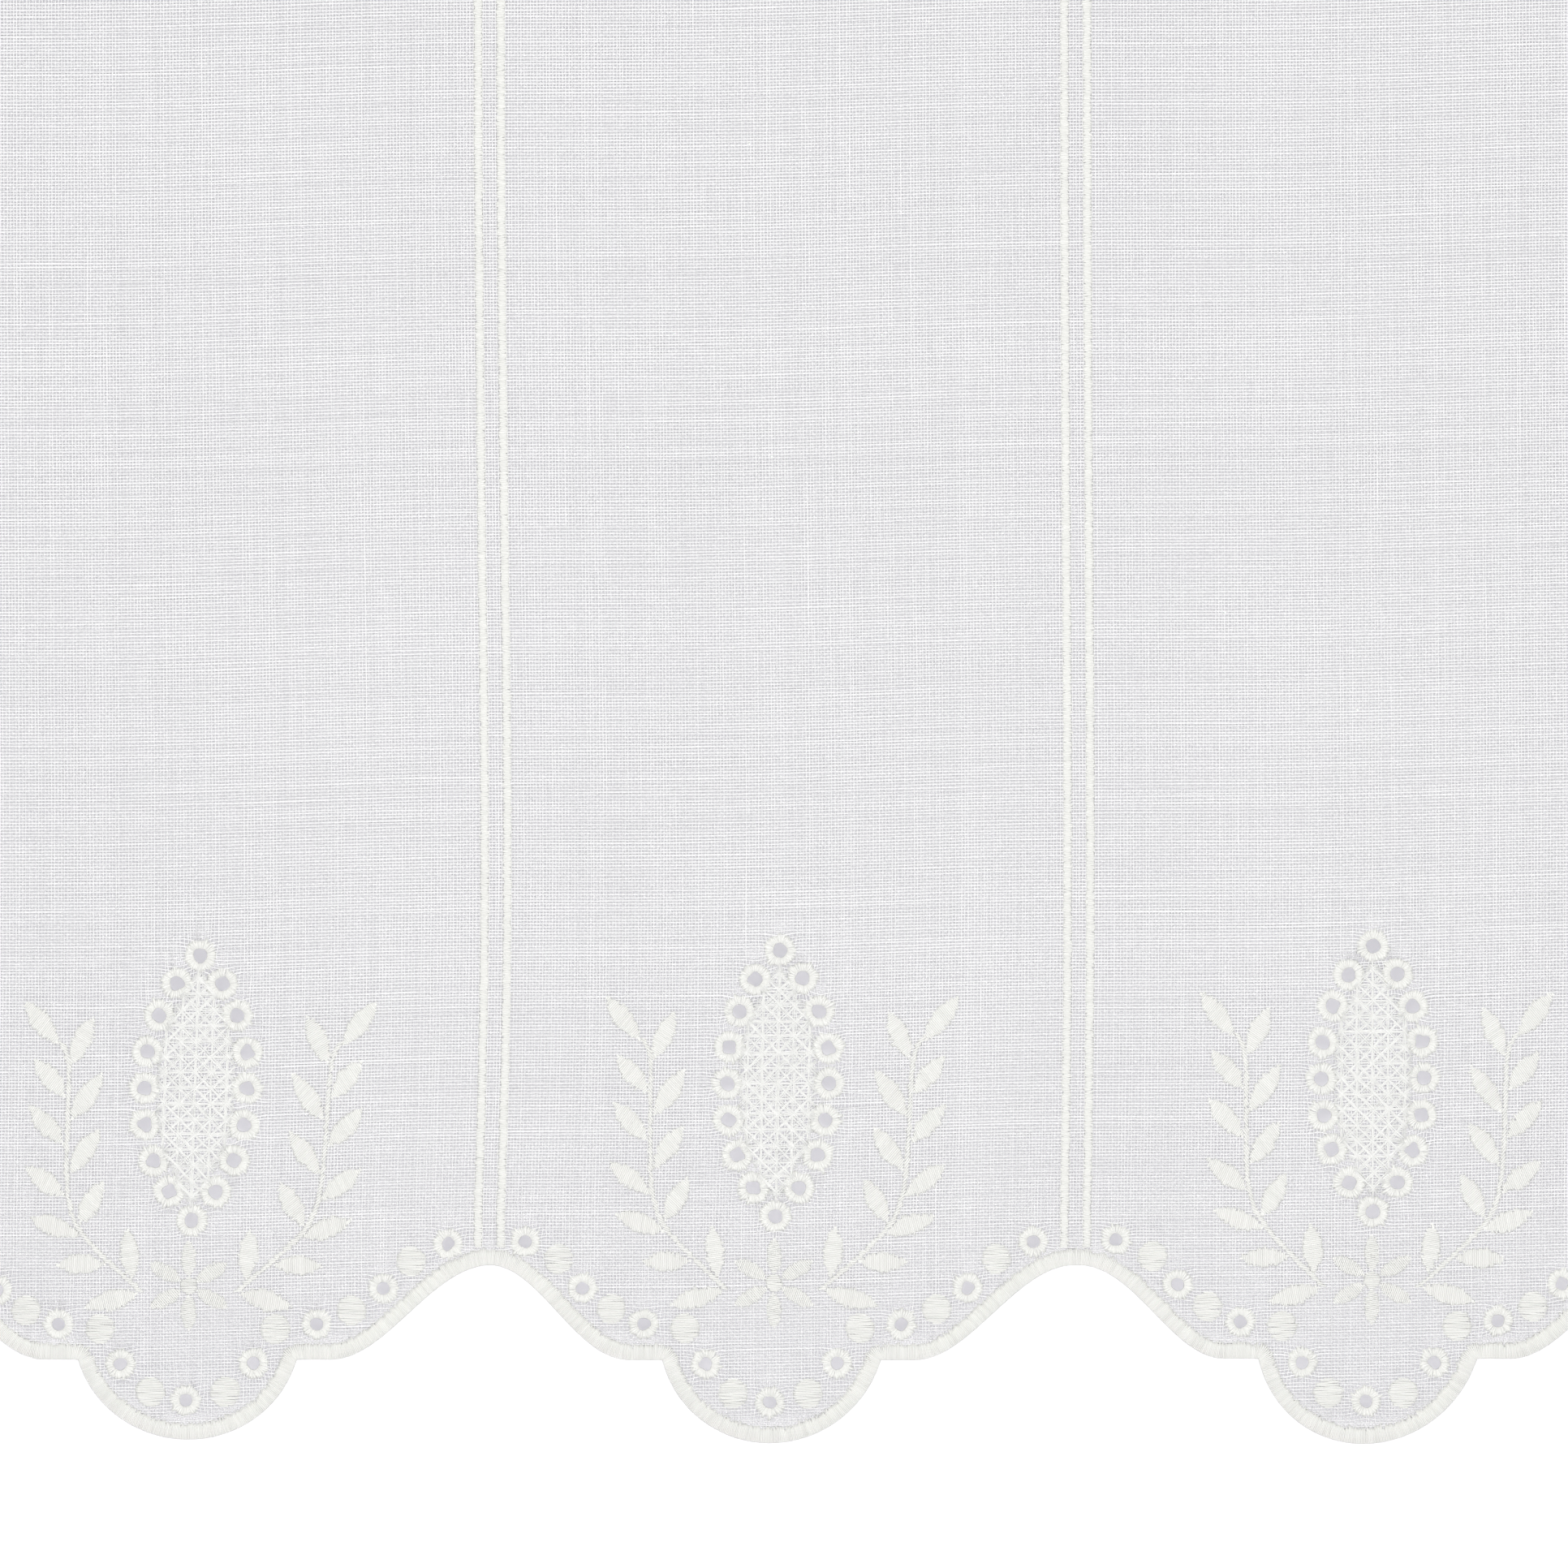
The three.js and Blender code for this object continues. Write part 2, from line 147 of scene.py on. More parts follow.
@dataclass(frozen=True)
class Layout:
    """Where every part of the design lies on the hanging cloth.

    Heights of a repeat's points are measured from the lowest point of its lobe.
    """

    width: float
    height: float
    repeat_width: float = 160 * MM
    notch_half_width: float = 29.8 * MM
    lobe_depth: float = 22.9 * MM
    valley_half_length: float = 41 * MM
    valley_rise: float = 26.2 * MM
    edging_width: float = 4.2 * MM
    edge_margin: float = 0.4 * MM
    line_spacing: float = 6.2 * MM
    bow_start: float = 56 * MM
    bow_length: float = 330 * MM
    eyelet_bore: float = 3.9 * MM
    eyelet_rim: float = 8 * MM
    hem_eyelet_bore: float = 3.5 * MM
    hem_eyelet_rim: float = 7.5 * MM
    dot_diameter: float = 8.1 * MM
    medallion_height: float = 98.7 * MM
    medallion_half_height: float = 36.2 * MM
    medallion_half_width: float = 14 * MM
    medallion_pointedness: float = 2.5
    medallion_eyelets: int = 16
    leaf_breadth: float = 5.4 * MM
    stem_width: float = 1.7 * MM
    right_spread: float = 0.03
    rosette_height: float = 44 * MM
    rosette_petals: int = 6
    petal_root: float = 2.4 * MM
    petal_length: float = 9.9 * MM
    petal_breadth: float = 4 * MM
    petal_bluntness: float = 2.7
    knot_diameter: float = 4.6 * MM
    drift_zone: float = 50 * MM
    lift_zone: float = 60 * MM
    top_hem: float = 25 * MM
    curve_steps: int = 400
    repeats: tuple[Repeat, ...] = (
        Repeat(-160 * MM, -0.2 * MM, 0.035, -2.2 * MM, -1.3 * MM, 1.5 * MM),
        Repeat(0.0, -1.3 * MM, 0.016, -3.5 * MM, 0.0, 0.5 * MM),
        Repeat(160 * MM, 1.2 * MM, 0.0, -1.5 * MM, 1.3 * MM, 0.3 * MM),
    )
    hem_row: tuple[HemPlace, ...] = (
        HemPlace(Stitch.EYELET, 0.0, 11.1 * MM),
        HemPlace(Stitch.DOT, 10.2 * MM, 13.6 * MM),
        HemPlace(Stitch.EYELET, 18 * MM, 21.8 * MM),
        HemPlace(Stitch.DOT, 23.9 * MM, 31.6 * MM),
        HemPlace(Stitch.EYELET, 35 * MM, 32.9 * MM),
        HemPlace(Stitch.DOT, 44.4 * MM, 36.9 * MM),
        HemPlace(Stitch.EYELET, 52.6 * MM, 42.8 * MM),
        HemPlace(Stitch.DOT, 59.8 * MM, 50.7 * MM),
        HemPlace(Stitch.EYELET, 69.5 * MM, 55.4 * MM),
    )
    stem: tuple[tuple[float, float], ...] = (
        (13.3 * MM, 42.5 * MM),
        (29.3 * MM, 58.3 * MM),
        (33.7 * MM, 68.5 * MM),
        (34.6 * MM, 82 * MM),
        (34.8 * MM, 104 * MM),
        (37 * MM, 110.8 * MM),
    )
    leaves: tuple[LeafPlace, ...] = (
        LeafPlace(1.0, 38, 15 * MM),
        LeafPlace(0.8, 39, 13.5 * MM),
        LeafPlace(0.63, 42, 14.1 * MM),
        LeafPlace(0.44, 52, 13.8 * MM),
        LeafPlace(0.295, 70, 14.4 * MM),
        LeafPlace(0.157, 92, 13.5 * MM),
        LeafPlace(0.0, 105, 15 * MM),
        LeafPlace(0.92, -24, 14.4 * MM),
        LeafPlace(0.72, -34, 15.4 * MM),
        LeafPlace(0.53, -35, 14.4 * MM),
        LeafPlace(0.33, -29, 13.4 * MM),
        LeafPlace(0.05, 5, 13.8 * MM),
    )

    @property
    def half_repeat(self) -> float:
        """Half the width of a repeat."""
        return self.repeat_width / 2

    @property
    def line_end(self) -> float:
        """Height in the frame at which the stitched lines run into the hem's edging."""
        valley = self.lobe_depth + self.valley_rise
        return valley + self.edging_width + 2 * self.edge_margin - self.height

    @property
    def lines(self) -> tuple[StitchedLine, ...]:
        """The stitched lines, from left to right.

        Returns:
            A line along each side and two at each boundary between repeats.
        """
        half_gap = self.line_spacing / 2
        outer = self.width / 2 - half_gap
        boundary = self.half_repeat
        return (
            StitchedLine(-outer, 0.5 * MM),
            StitchedLine(-boundary - half_gap, 1.8 * MM),
            StitchedLine(-boundary + half_gap, 1.8 * MM),
            StitchedLine(boundary - half_gap, 0.9 * MM),
            StitchedLine(boundary + half_gap, 0.9 * MM),
            StitchedLine(outer, 0.5 * MM),
        )

    def hung(self, repeat: Repeat, across: np.ndarray, height: np.ndarray) -> np.ndarray:
        """Moves points of a repeat's drawing to where the panel hangs.

        Args:
            repeat: The repeat that the points belong to.
            across: Distances from the repeat's axis.
            height: Heights above the lobe's lowest point.

        Returns:
            Points in the panel's plane, x and z in the last axis.
        """
        across = np.asarray(across, float)
        height = np.asarray(height, float)
        hem_share = np.maximum(0.0, 1 - height / self.drift_zone)
        lift_share = np.minimum(1.0, height / self.lift_zone)
        inside = 1 - (across / self.half_repeat) ** 4
        motif_drift = repeat.motif_shift + repeat.lean * (height - self.medallion_height)
        drift = motif_drift + (repeat.hem_shift - motif_drift) * hem_share
        lift = repeat.hem_lift + (repeat.motif_lift - repeat.hem_lift) * lift_share
        x = repeat.axis + across + drift * inside
        z = height - self.height + lift * inside
        return np.stack([x, z], axis=-1)

    def hem_height(self, across: np.ndarray) -> np.ndarray:
        """Height of the hem above a lobe's lowest point.

        Args:
            across: Distances from the repeat's axis.

        Returns:
            The hem's height at each distance: a round lobe, a notch and a rising valley.
        """
        distance = np.abs(across)
        radius = (self.notch_half_width**2 + self.lobe_depth**2) / (2 * self.lobe_depth)
        lobe = radius - np.sqrt(np.maximum(0.0, radius**2 - distance**2))
        shoulder = self.half_repeat - self.valley_half_length
        share = np.maximum(0.0, distance - shoulder) / self.valley_half_length
        valley = self.lobe_depth + self.valley_rise * (1 - np.cos(math.pi * share)) / 2
        return np.where(distance <= self.notch_half_width, lobe, valley)

    def hem_line(self) -> np.ndarray:
        """The hem's edge across the whole panel.

        Returns:
            Close points from left to right, x and z.
        """
        across = np.linspace(-self.half_repeat, self.half_repeat, 2 * self.curve_steps + 1)
        lines = [self.hung(repeat, across, self.hem_height(across)) for repeat in self.repeats]
        return np.concatenate([lines[0], *(line[1:] for line in lines[1:])])

    def bowed(self, line: StitchedLine, z: np.ndarray) -> np.ndarray:
        """Where a stitched line lies across the panel, at heights z in the frame."""
        return line.x + line.bow * self.bow_share(z)

    def bow_share(self, z: np.ndarray) -> np.ndarray:
        """How much of its sideways bow the cloth has, at heights z in the frame."""
        share = np.clip((-z - self.bow_start) / self.bow_length, 0.0, 1.0)
        return np.sin(math.pi * share**2)

    def oval(self) -> np.ndarray:
        """The pointed oval that a medallion's eyelets follow.

        Returns:
            Close points of the closed line, from its upper point.
        """
        fall = np.linspace(1.0, -1.0, 2 * self.curve_steps + 1)
        breadth = 1 - np.abs(fall) ** self.medallion_pointedness
        right = np.stack([self.medallion_half_width * breadth, self.medallion_half_height * fall], 1)
        left = right[::-1] * np.array([-1.0, 1.0])
        return np.concatenate([right, left[1:]])

    def ring_eyelets(self, repeat: Repeat) -> list[Disc]:
        """The eyelets of a repeat's medallion.

        Args:
            repeat: The repeat that they belong to.

        Returns:
            A disc for each eyelet.
        """
        centres = evenly(self.oval(), self.medallion_eyelets + 1)[1:]
        hung = self.hung(repeat, centres[:, 0], self.medallion_height + centres[:, 1])
        return [Disc(x, z, self.eyelet_bore / 2, self.eyelet_rim / 2) for x, z in hung]

    def hem_row_of(self, repeat: Repeat, stitch: Stitch) -> np.ndarray:
        """Centres of one kind of stitch in the row above a repeat's hem.

        Args:
            repeat: The repeat that they belong to.
            stitch: Eyelets or dots.

        Returns:
            Centres in the panel's plane, on both sides of the axis.
        """
        rows = [place for place in self.hem_row if place.stitch is stitch]
        right = [(place.across, place.height) for place in rows]
        left = [(-place.across, place.height) for place in rows if place.across > 0]
        drawn = np.array(right + left)
        return self.hung(repeat, drawn[:, 0], drawn[:, 1])

    def eyelets(self) -> list[Disc]:
        """Every eyelet of the curtain.

        Returns:
            Discs of the medallions and of the rows above the hem.
        """
        found = []
        for repeat in self.repeats:
            found += self.ring_eyelets(repeat)
            bore, rim = self.hem_eyelet_bore / 2, self.hem_eyelet_rim / 2
            row = self.hem_row_of(repeat, Stitch.EYELET)
            found += [Disc(x, z, bore, rim) for x, z in row]
        return found

    def dots(self) -> list[Disc]:
        """Every padded dot of the curtain."""
        centres = np.concatenate([self.hem_row_of(repeat, Stitch.DOT) for repeat in self.repeats])
        return [Disc(x, z, 0.0, self.dot_diameter / 2) for x, z in centres]

    def stem_line(self, repeat: Repeat, side: Side) -> np.ndarray:
        """The middle of a spray's stem.

        Args:
            repeat: The repeat that the spray belongs to.
            side: The spray's side.

        Returns:
            Close points from the root upwards.
        """
        across, height = np.array(self.stem).T
        if side is Side.RIGHT:
            across = across + self.right_spread * (height - height[0])
        return smooth_line(self.hung(repeat, side.value * across, height), self.curve_steps)

    def spray_leaves(self, repeat: Repeat, side: Side) -> list[LeafShape]:
        """The leaves of one spray.

        Args:
            repeat: The repeat that the spray belongs to.
            side: The spray's side.

        Returns:
            The leaves, each starting at the edge of the stem on its own side.
        """
        line = self.stem_line(repeat, side)
        shapes = []
        for leaf in self.leaves:
            at = int(round(leaf.along * (len(line) - 1)))
            near = line[max(at - 2, 0)], line[min(at + 2, len(line) - 1)]
            tangent = unit(near[1] - near[0])
            turn = math.radians(side.value * leaf.turn)
            lean = math.atan2(tangent[0], tangent[1])
            outward = math.copysign(self.stem_width / 2, turn - lean)
            root = line[at] + outward * np.array([tangent[1], -tangent[0]])
            way = np.array([math.sin(turn), math.cos(turn)])
            shapes.append(LeafShape(root, way, leaf.length, self.leaf_breadth))
        return shapes

    def petals(self, repeat: Repeat) -> list[LeafShape]:
        """The petals of a repeat's rosette.

        Args:
            repeat: The repeat that they belong to.

        Returns:
            The petals, each pointing out from the knot.
        """
        centre = self.hung(repeat, 0.0, self.rosette_height)
        shapes = []
        for i in range(self.rosette_petals):
            turn = 2 * math.pi * i / self.rosette_petals
            way = np.array([math.sin(turn), math.cos(turn)])
            root = centre + way * self.petal_root
            size = self.petal_length, self.petal_breadth, self.petal_bluntness
            shapes.append(LeafShape(root, way, *size))
        return shapes


def unit(vector: np.ndarray) -> np.ndarray:
    """The vectors in the last axis, each made one long."""
    return vector / np.maximum(np.linalg.norm(vector, axis=-1, keepdims=True), 1e-12)


def lengths_along(line: np.ndarray) -> np.ndarray:
    """The distance along a line of points, at each of its points."""
    steps = np.linalg.norm(np.diff(line, axis=0), axis=1)
    return np.concatenate([[0.0], np.cumsum(steps)])


def evenly(line: np.ndarray, count: int) -> np.ndarray:
    """Spaces the points of a line evenly.

    Args:
        line: The line's points.
        count: How many points are wanted.

    Returns:
        Points that lie evenly along the line.
    """
    along = lengths_along(line)
    wanted = np.linspace(0.0, along[-1], count)
    return np.stack([np.interp(wanted, along, line[:, i]) for i in range(line.shape[1])], axis=1)


def smooth_line(points: np.ndarray, count: int) -> np.ndarray:
    """A smooth line through points, each piece shaped by its neighbours.

    Args:
        points: The points that the line passes through.
        count: How many points the line gets.

    Returns:
        Points that lie evenly along the line.
    """
    padded = np.concatenate([points[:1], points, points[-1:]])
    pieces = []
    for i in range(len(points) - 1):
        before, start, end, after = padded[i : i + 4]
        t = np.linspace(0.0, 1.0, count // 4)[:, None]
        leaving, arriving = (end - before) / 2, (after - start) / 2
        cubic = 2 * start - 2 * end + leaving + arriving
        square = -3 * start + 3 * end - 2 * leaving - arriving
        pieces.append(((cubic * t + square) * t + leaving) * t + start)
    return evenly(np.concatenate(pieces), count)


def ripple(at: np.ndarray, waves: tuple[tuple[float, float], ...], phases: np.ndarray) -> np.ndarray:
    """A sum of sine waves.

    Args:
        at: Places along the waves.
        waves: Length and height of each wave.
        phases: Phase of each wave, in turns.

    Returns:
        The height at each place.
    """
    total = np.zeros_like(at)
    for (length, height), phase in zip(waves, phases):
        total += height * np.sin(2 * math.pi * (at / length + phase))
    return total


@dataclass
class Strands:
    """Threads gathered as arrays and joined into one mesh.

    Each thread is closed and has three sides: a flat face and, opposite it, a ridge. The way
    across a thread sets which of the two looks to the front.
    """

    corners: list[np.ndarray] = field(default_factory=list)
    quads: list[np.ndarray] = field(default_factory=list)
    caps: list[np.ndarray] = field(default_factory=list)
    shades: list[np.ndarray] = field(default_factory=list)
    picks: list[np.ndarray] = field(default_factory=list)
    flats: list[bool] = field(default_factory=list)
    count: int = 0

    @property
    def triangles(self) -> int:
        """How many triangles the mesh has."""
        return sum(2 * len(q) for q in self.quads) + sum(len(c) for c in self.caps)

    def add(
        self,
        points: np.ndarray,
        side: np.ndarray,
        half_width: np.ndarray,
        front: float,
        back: np.ndarray,
        shade: np.ndarray,
        picks: np.ndarray | None = None,
        flat: bool = False,
    ) -> None:
        """Adds threads that have the same number of points.

        Args:
            points: Middle lines, as threads by points by three.
            side: The way across each thread, threads by three.
            half_width: Half the width at each point, threads by points.
            front: Height of the flat face over the middle line.
            back: Depth of the ridge below the middle line, threads by points.
            shade: A value from 0 to 1 for each thread, which its finish reads.
            picks: Count of crossing yarns at each point, threads by points.
            flat: Whether the faces meet in sharp edges.
        """
        threads, steps = points.shape[:2]
        way = unit(np.gradient(points, axis=1))
        across = np.broadcast_to(side[:, None, :], points.shape)
        outward = unit(np.cross(across, way))
        lip = points + outward * front
        reach = across * half_width[..., None]
        ridge = points - outward * back[..., None]
        corners = np.stack([lip - reach, lip + reach, ridge], axis=2)
        first = self.count + 3 * np.arange(threads * steps).reshape(threads, steps)
        here, ahead = first[:, :-1, None], first[:, 1:, None]
        one, two = np.array([0, 1, 2]), np.array([1, 2, 0])
        quads = np.stack([here + one, here + two, ahead + two, ahead + one], axis=-1)
        start = first[:, 0, None] + np.array([0, 2, 1])
        end = first[:, -1, None] + np.array([0, 1, 2])
        self.corners.append(corners.reshape(-1, 3))
        self.quads.append(quads.reshape(-1, 4))
        self.caps.append(np.concatenate([start, end]))
        self.shades.append(np.repeat(shade, 3 * steps))
        counted = np.zeros((threads, steps)) if picks is None else picks
        self.picks.append(np.repeat(counted.ravel(), 3))
        self.flats.append(flat)
        self.count += 3 * threads * steps

    def build(self, name: str) -> bpy.types.Object:
        """Joins the threads into one mesh object in the scene.

        Args:
            name: The piece's name.

        Returns:
            The new object, with the values that its finish reads.
        """
        corners = np.concatenate(self.corners).astype(np.float32)
        quads = np.concatenate(self.quads)
        caps = np.concatenate(self.caps)
        loops = np.concatenate([quads.ravel(), caps.ravel()]).astype(np.int32)
        starts = np.concatenate([4 * np.arange(len(quads)), 4 * len(quads) + 3 * np.arange(len(caps))])
        mesh = bpy.data.meshes.new(name)
        mesh.vertices.add(len(corners))
        mesh.vertices.foreach_set("co", corners.ravel())
        mesh.loops.add(len(loops))
        mesh.loops.foreach_set("vertex_index", loops)
        mesh.polygons.add(len(starts))
        mesh.polygons.foreach_set("loop_start", starts.astype(np.int32))
        mesh.update(calc_edges=True)
        for label, values in (("shade", self.shades), ("pick", self.picks)):
            layer = mesh.attributes.new(label, "FLOAT", "POINT")
            layer.data.foreach_set("value", np.concatenate(values).astype(np.float32))
        sizes = [len(faces) for faces in self.quads + self.caps]
        sharp = mesh.attributes.new("sharp_face", "BOOLEAN", "FACE")
        sharp.data.foreach_set("value", np.repeat(self.flats * 2, sizes))
        piece = bpy.data.objects.new(name, mesh)
        bpy.context.scene.collection.objects.link(piece)
        return piece


class NodeSheet:
    """A material's node tree, with short calls to add and join nodes."""

    def __init__(self, name: str) -> None:
        """Starts a material with one surface shader.

        Args:
            name: The material's name.
        """
        self.material = bpy.data.materials.new(name)
        self.material.use_nodes = True
        self.nodes = self.material.node_tree.nodes
        self.links = self.material.node_tree.links
        self.shader = self.nodes["Principled BSDF"]

    def add(self, kind: str, **settings: object) -> bpy.types.Node:
        """Adds a node and sets its properties.

        Args:
            kind: Blender's name for the kind of node.
            **settings: Properties and their values.

        Returns:
            The new node.
        """
        node = self.nodes.new(kind)
        for label, value in settings.items():
            setattr(node, label, value)
        return node

    def value(self, source: bpy.types.NodeSocket | float, socket: bpy.types.NodeSocket) -> None:
        """Links a socket, or sets its constant value.

        Args:
            source: A socket to link from, or a number.
            socket: The socket that takes it.
        """
        if isinstance(source, bpy.types.NodeSocket):
            self.links.new(source, socket)
        else:
            socket.default_value = source

    def math(
        self,
        operation: str,
        first: bpy.types.NodeSocket | float,
        second: bpy.types.NodeSocket | float = 0.0,
    ) -> bpy.types.NodeSocket:
        """One sum or function of two values.

        Args:
            operation: The name of Blender's math operation.
            first: A socket or a number.
            second: A socket or a number.

        Returns:
            The socket that holds the result.
        """
        node = self.add("ShaderNodeMath", operation=operation)
        self.value(first, node.inputs[0])
        self.value(second, node.inputs[1])
        return node.outputs[0]

    def attribute(self, label: str) -> bpy.types.NodeSocket:
        """The value that each thread's points hold under a label."""
        return self.add("ShaderNodeAttribute", attribute_name=label).outputs["Fac"]

    def noise(self, scale: float, detail: float) -> bpy.types.NodeSocket:
        """Cloudy noise fixed to the object, from 0 to 1.

        Args:
            scale: How fine the noise is.
            detail: How many finer layers it has.

        Returns:
            The socket that holds the noise.
        """
        place = self.add("ShaderNodeTexCoord").outputs["Object"]
        node = self.add("ShaderNodeTexNoise")
        self.links.new(place, node.inputs["Vector"])
        node.inputs["Scale"].default_value = scale
        node.inputs["Detail"].default_value = detail
        return node.outputs["Fac"]

    def between(
        self,
        share: bpy.types.NodeSocket,
        low: tuple[float, float, float],
        high: tuple[float, float, float],
    ) -> bpy.types.NodeSocket:
        """A colour between two, by a share from 0 to 1.

        Args:
            share: The share of the second colour.
            low: The first colour.
            high: The second colour.

        Returns:
            The socket that holds the colour.
        """
        node = self.add("ShaderNodeMix", data_type="RGBA")
        self.links.new(share, node.inputs["Factor"])
        node.inputs["A"].default_value = (*low, 1.0)
        node.inputs["B"].default_value = (*high, 1.0)
        return node.outputs["Result"]

    def bump(self, height: bpy.types.NodeSocket, depth: float, strength: float) -> None:
        """Roughens the surface by a height from 0 to 1.

        Args:
            height: The height.
            depth: How deep the relief is, in metres.
            strength: How much it shows.
        """
        node = self.add("ShaderNodeBump")
        node.inputs["Strength"].default_value = strength
        node.inputs["Distance"].default_value = depth
        self.links.new(height, node.inputs["Height"])
        self.links.new(node.outputs["Normal"], self.shader.inputs["Normal"])


@dataclass(frozen=True)
class ThreadFinish:
    """White thread: a tone that differs from thread to thread, with fine fibres."""

    name: str
    dark: tuple[float, float, float]
    light: tuple[float, float, float]
    # Share of the tone that is painted shade where the yarn dips under a crossing yarn, with painted
    # light on its crests.
    crimp_shade: float = 0.0
    cloud_scale: float = 30.0
    cloud_share: float = 0.25
    fibre_scale: float = 3200.0
    fibre_depth: float = 0.01 * MM
    fibre_detail: float = 3.0
    cloud_detail: float = 2.0
    roughness: tuple[float, float] = (0.55, 0.8)
    sheen: float = 0.1
    gloss: float = 0.3
    relief_shares: tuple[float, float] = (0.6, 0.4)
    relief_strength: float = 0.6

    def make(self) -> bpy.types.Material:
        """Makes the material.

        Returns:
            A material whose tone follows each thread's shade, a painted shade where the yarn dips
            under its crossing yarn, slow clouds over the cloth and fine fibres.
        """
        sheet = NodeSheet(self.name)
        fibres = sheet.noise(self.fibre_scale, self.fibre_detail)
        clouds = sheet.noise(self.cloud_scale, self.cloud_detail)
        # The crest runs from 1 where the yarn rides over a crossing yarn to 0 where it dips under it;
        # it drives a real bump and a painted shade.
        turns = sheet.math("MULTIPLY", sheet.attribute("pick"), math.pi)
        crest = sheet.math("MULTIPLY_ADD", sheet.math("COSINE", turns), 0.5)
        crest.node.inputs[2].default_value = 0.5
        tone = sheet.math("MULTIPLY", sheet.attribute("shade"), 1 - self.crimp_shade - self.cloud_share)
        # Painted shade: the tone darkens where the yarn dips under a crossing yarn.
        tone = sheet.math("ADD", tone, sheet.math("MULTIPLY", crest, self.crimp_shade))
        tone = sheet.math("ADD", tone, sheet.math("MULTIPLY", clouds, self.cloud_share))
        sheet.links.new(sheet.between(tone, self.dark, self.light), sheet.shader.inputs["Base Color"])
        rough = sheet.add("ShaderNodeMapRange")
        sheet.links.new(fibres, rough.inputs["Value"])
        rough.inputs["To Min"].default_value = self.roughness[0]
        rough.inputs["To Max"].default_value = self.roughness[1]
        sheet.links.new(rough.outputs["Result"], sheet.shader.inputs["Roughness"])
        sheet.shader.inputs["Sheen Weight"].default_value = self.sheen
        sheet.shader.inputs["Specular IOR Level"].default_value = self.gloss
        bulge = sheet.math("MULTIPLY", crest, self.relief_shares[0])
        fuzz = sheet.math("MULTIPLY", fibres, self.relief_shares[1])
        sheet.bump(sheet.math("ADD", bulge, fuzz), self.fibre_depth, self.relief_strength)
        return sheet.material


@dataclass(frozen=True)
class PaperFinish:
    """Matt studio paper with a faint grain."""

    name: str
    low: tuple[float, float, float]
    high: tuple[float, float, float]
    grain_scale: float = 3.0
    grain_detail: float = 2.0

    def make(self) -> bpy.types.Material:
        """Makes the material.

        Returns:
            A matt material.
        """
        sheet = NodeSheet(self.name)
        grain = sheet.noise(self.grain_scale, self.grain_detail)
        tone = sheet.between(grain, self.low, self.high)
        sheet.links.new(tone, sheet.shader.inputs["Base Color"])
        sheet.shader.inputs["Roughness"].default_value = 1.0
        sheet.shader.inputs["Specular IOR Level"].default_value = 0.0
        return sheet.material


CLOTH_YARN = ThreadFinish(
    name="open_weave_yarn",
    dark=(0.685, 0.685, 0.693),
    light=(0.81, 0.81, 0.815),
    # Painted shade in the weave's dips.
    crimp_shade=0.35,
    cloud_scale=14.0,
    fibre_scale=2600.0,
    fibre_depth=0.012 * MM,
    roughness=(0.8, 1.0),
    sheen=0.15,
)
STITCH_THREAD = ThreadFinish("satin_stitch_thread", (0.7, 0.704, 0.674), (0.768, 0.772, 0.742))
# The stitch thread's tone made lighter for the rims: painted light that offsets the shade between their
# close-packed, overlapping stitches.
LIT_RIM_THREAD = ThreadFinish("lightened_eyelet_thread", (0.725, 0.73, 0.697), (0.795, 0.8, 0.767))
NET_THREAD = ThreadFinish("drawn_net_thread", (0.73, 0.735, 0.715), (0.81, 0.815, 0.795))
WALL_PAPER = PaperFinish("studio_paper", (0.9, 0.893, 0.91), (0.915, 0.908, 0.925))


@dataclass(frozen=True)
class YarnPath:
    """The way of one yarn: its run, its place in the flat weave, its waves, eyelets it meets."""

    run: Run
    base: float
    phases: np.ndarray
    near: np.ndarray


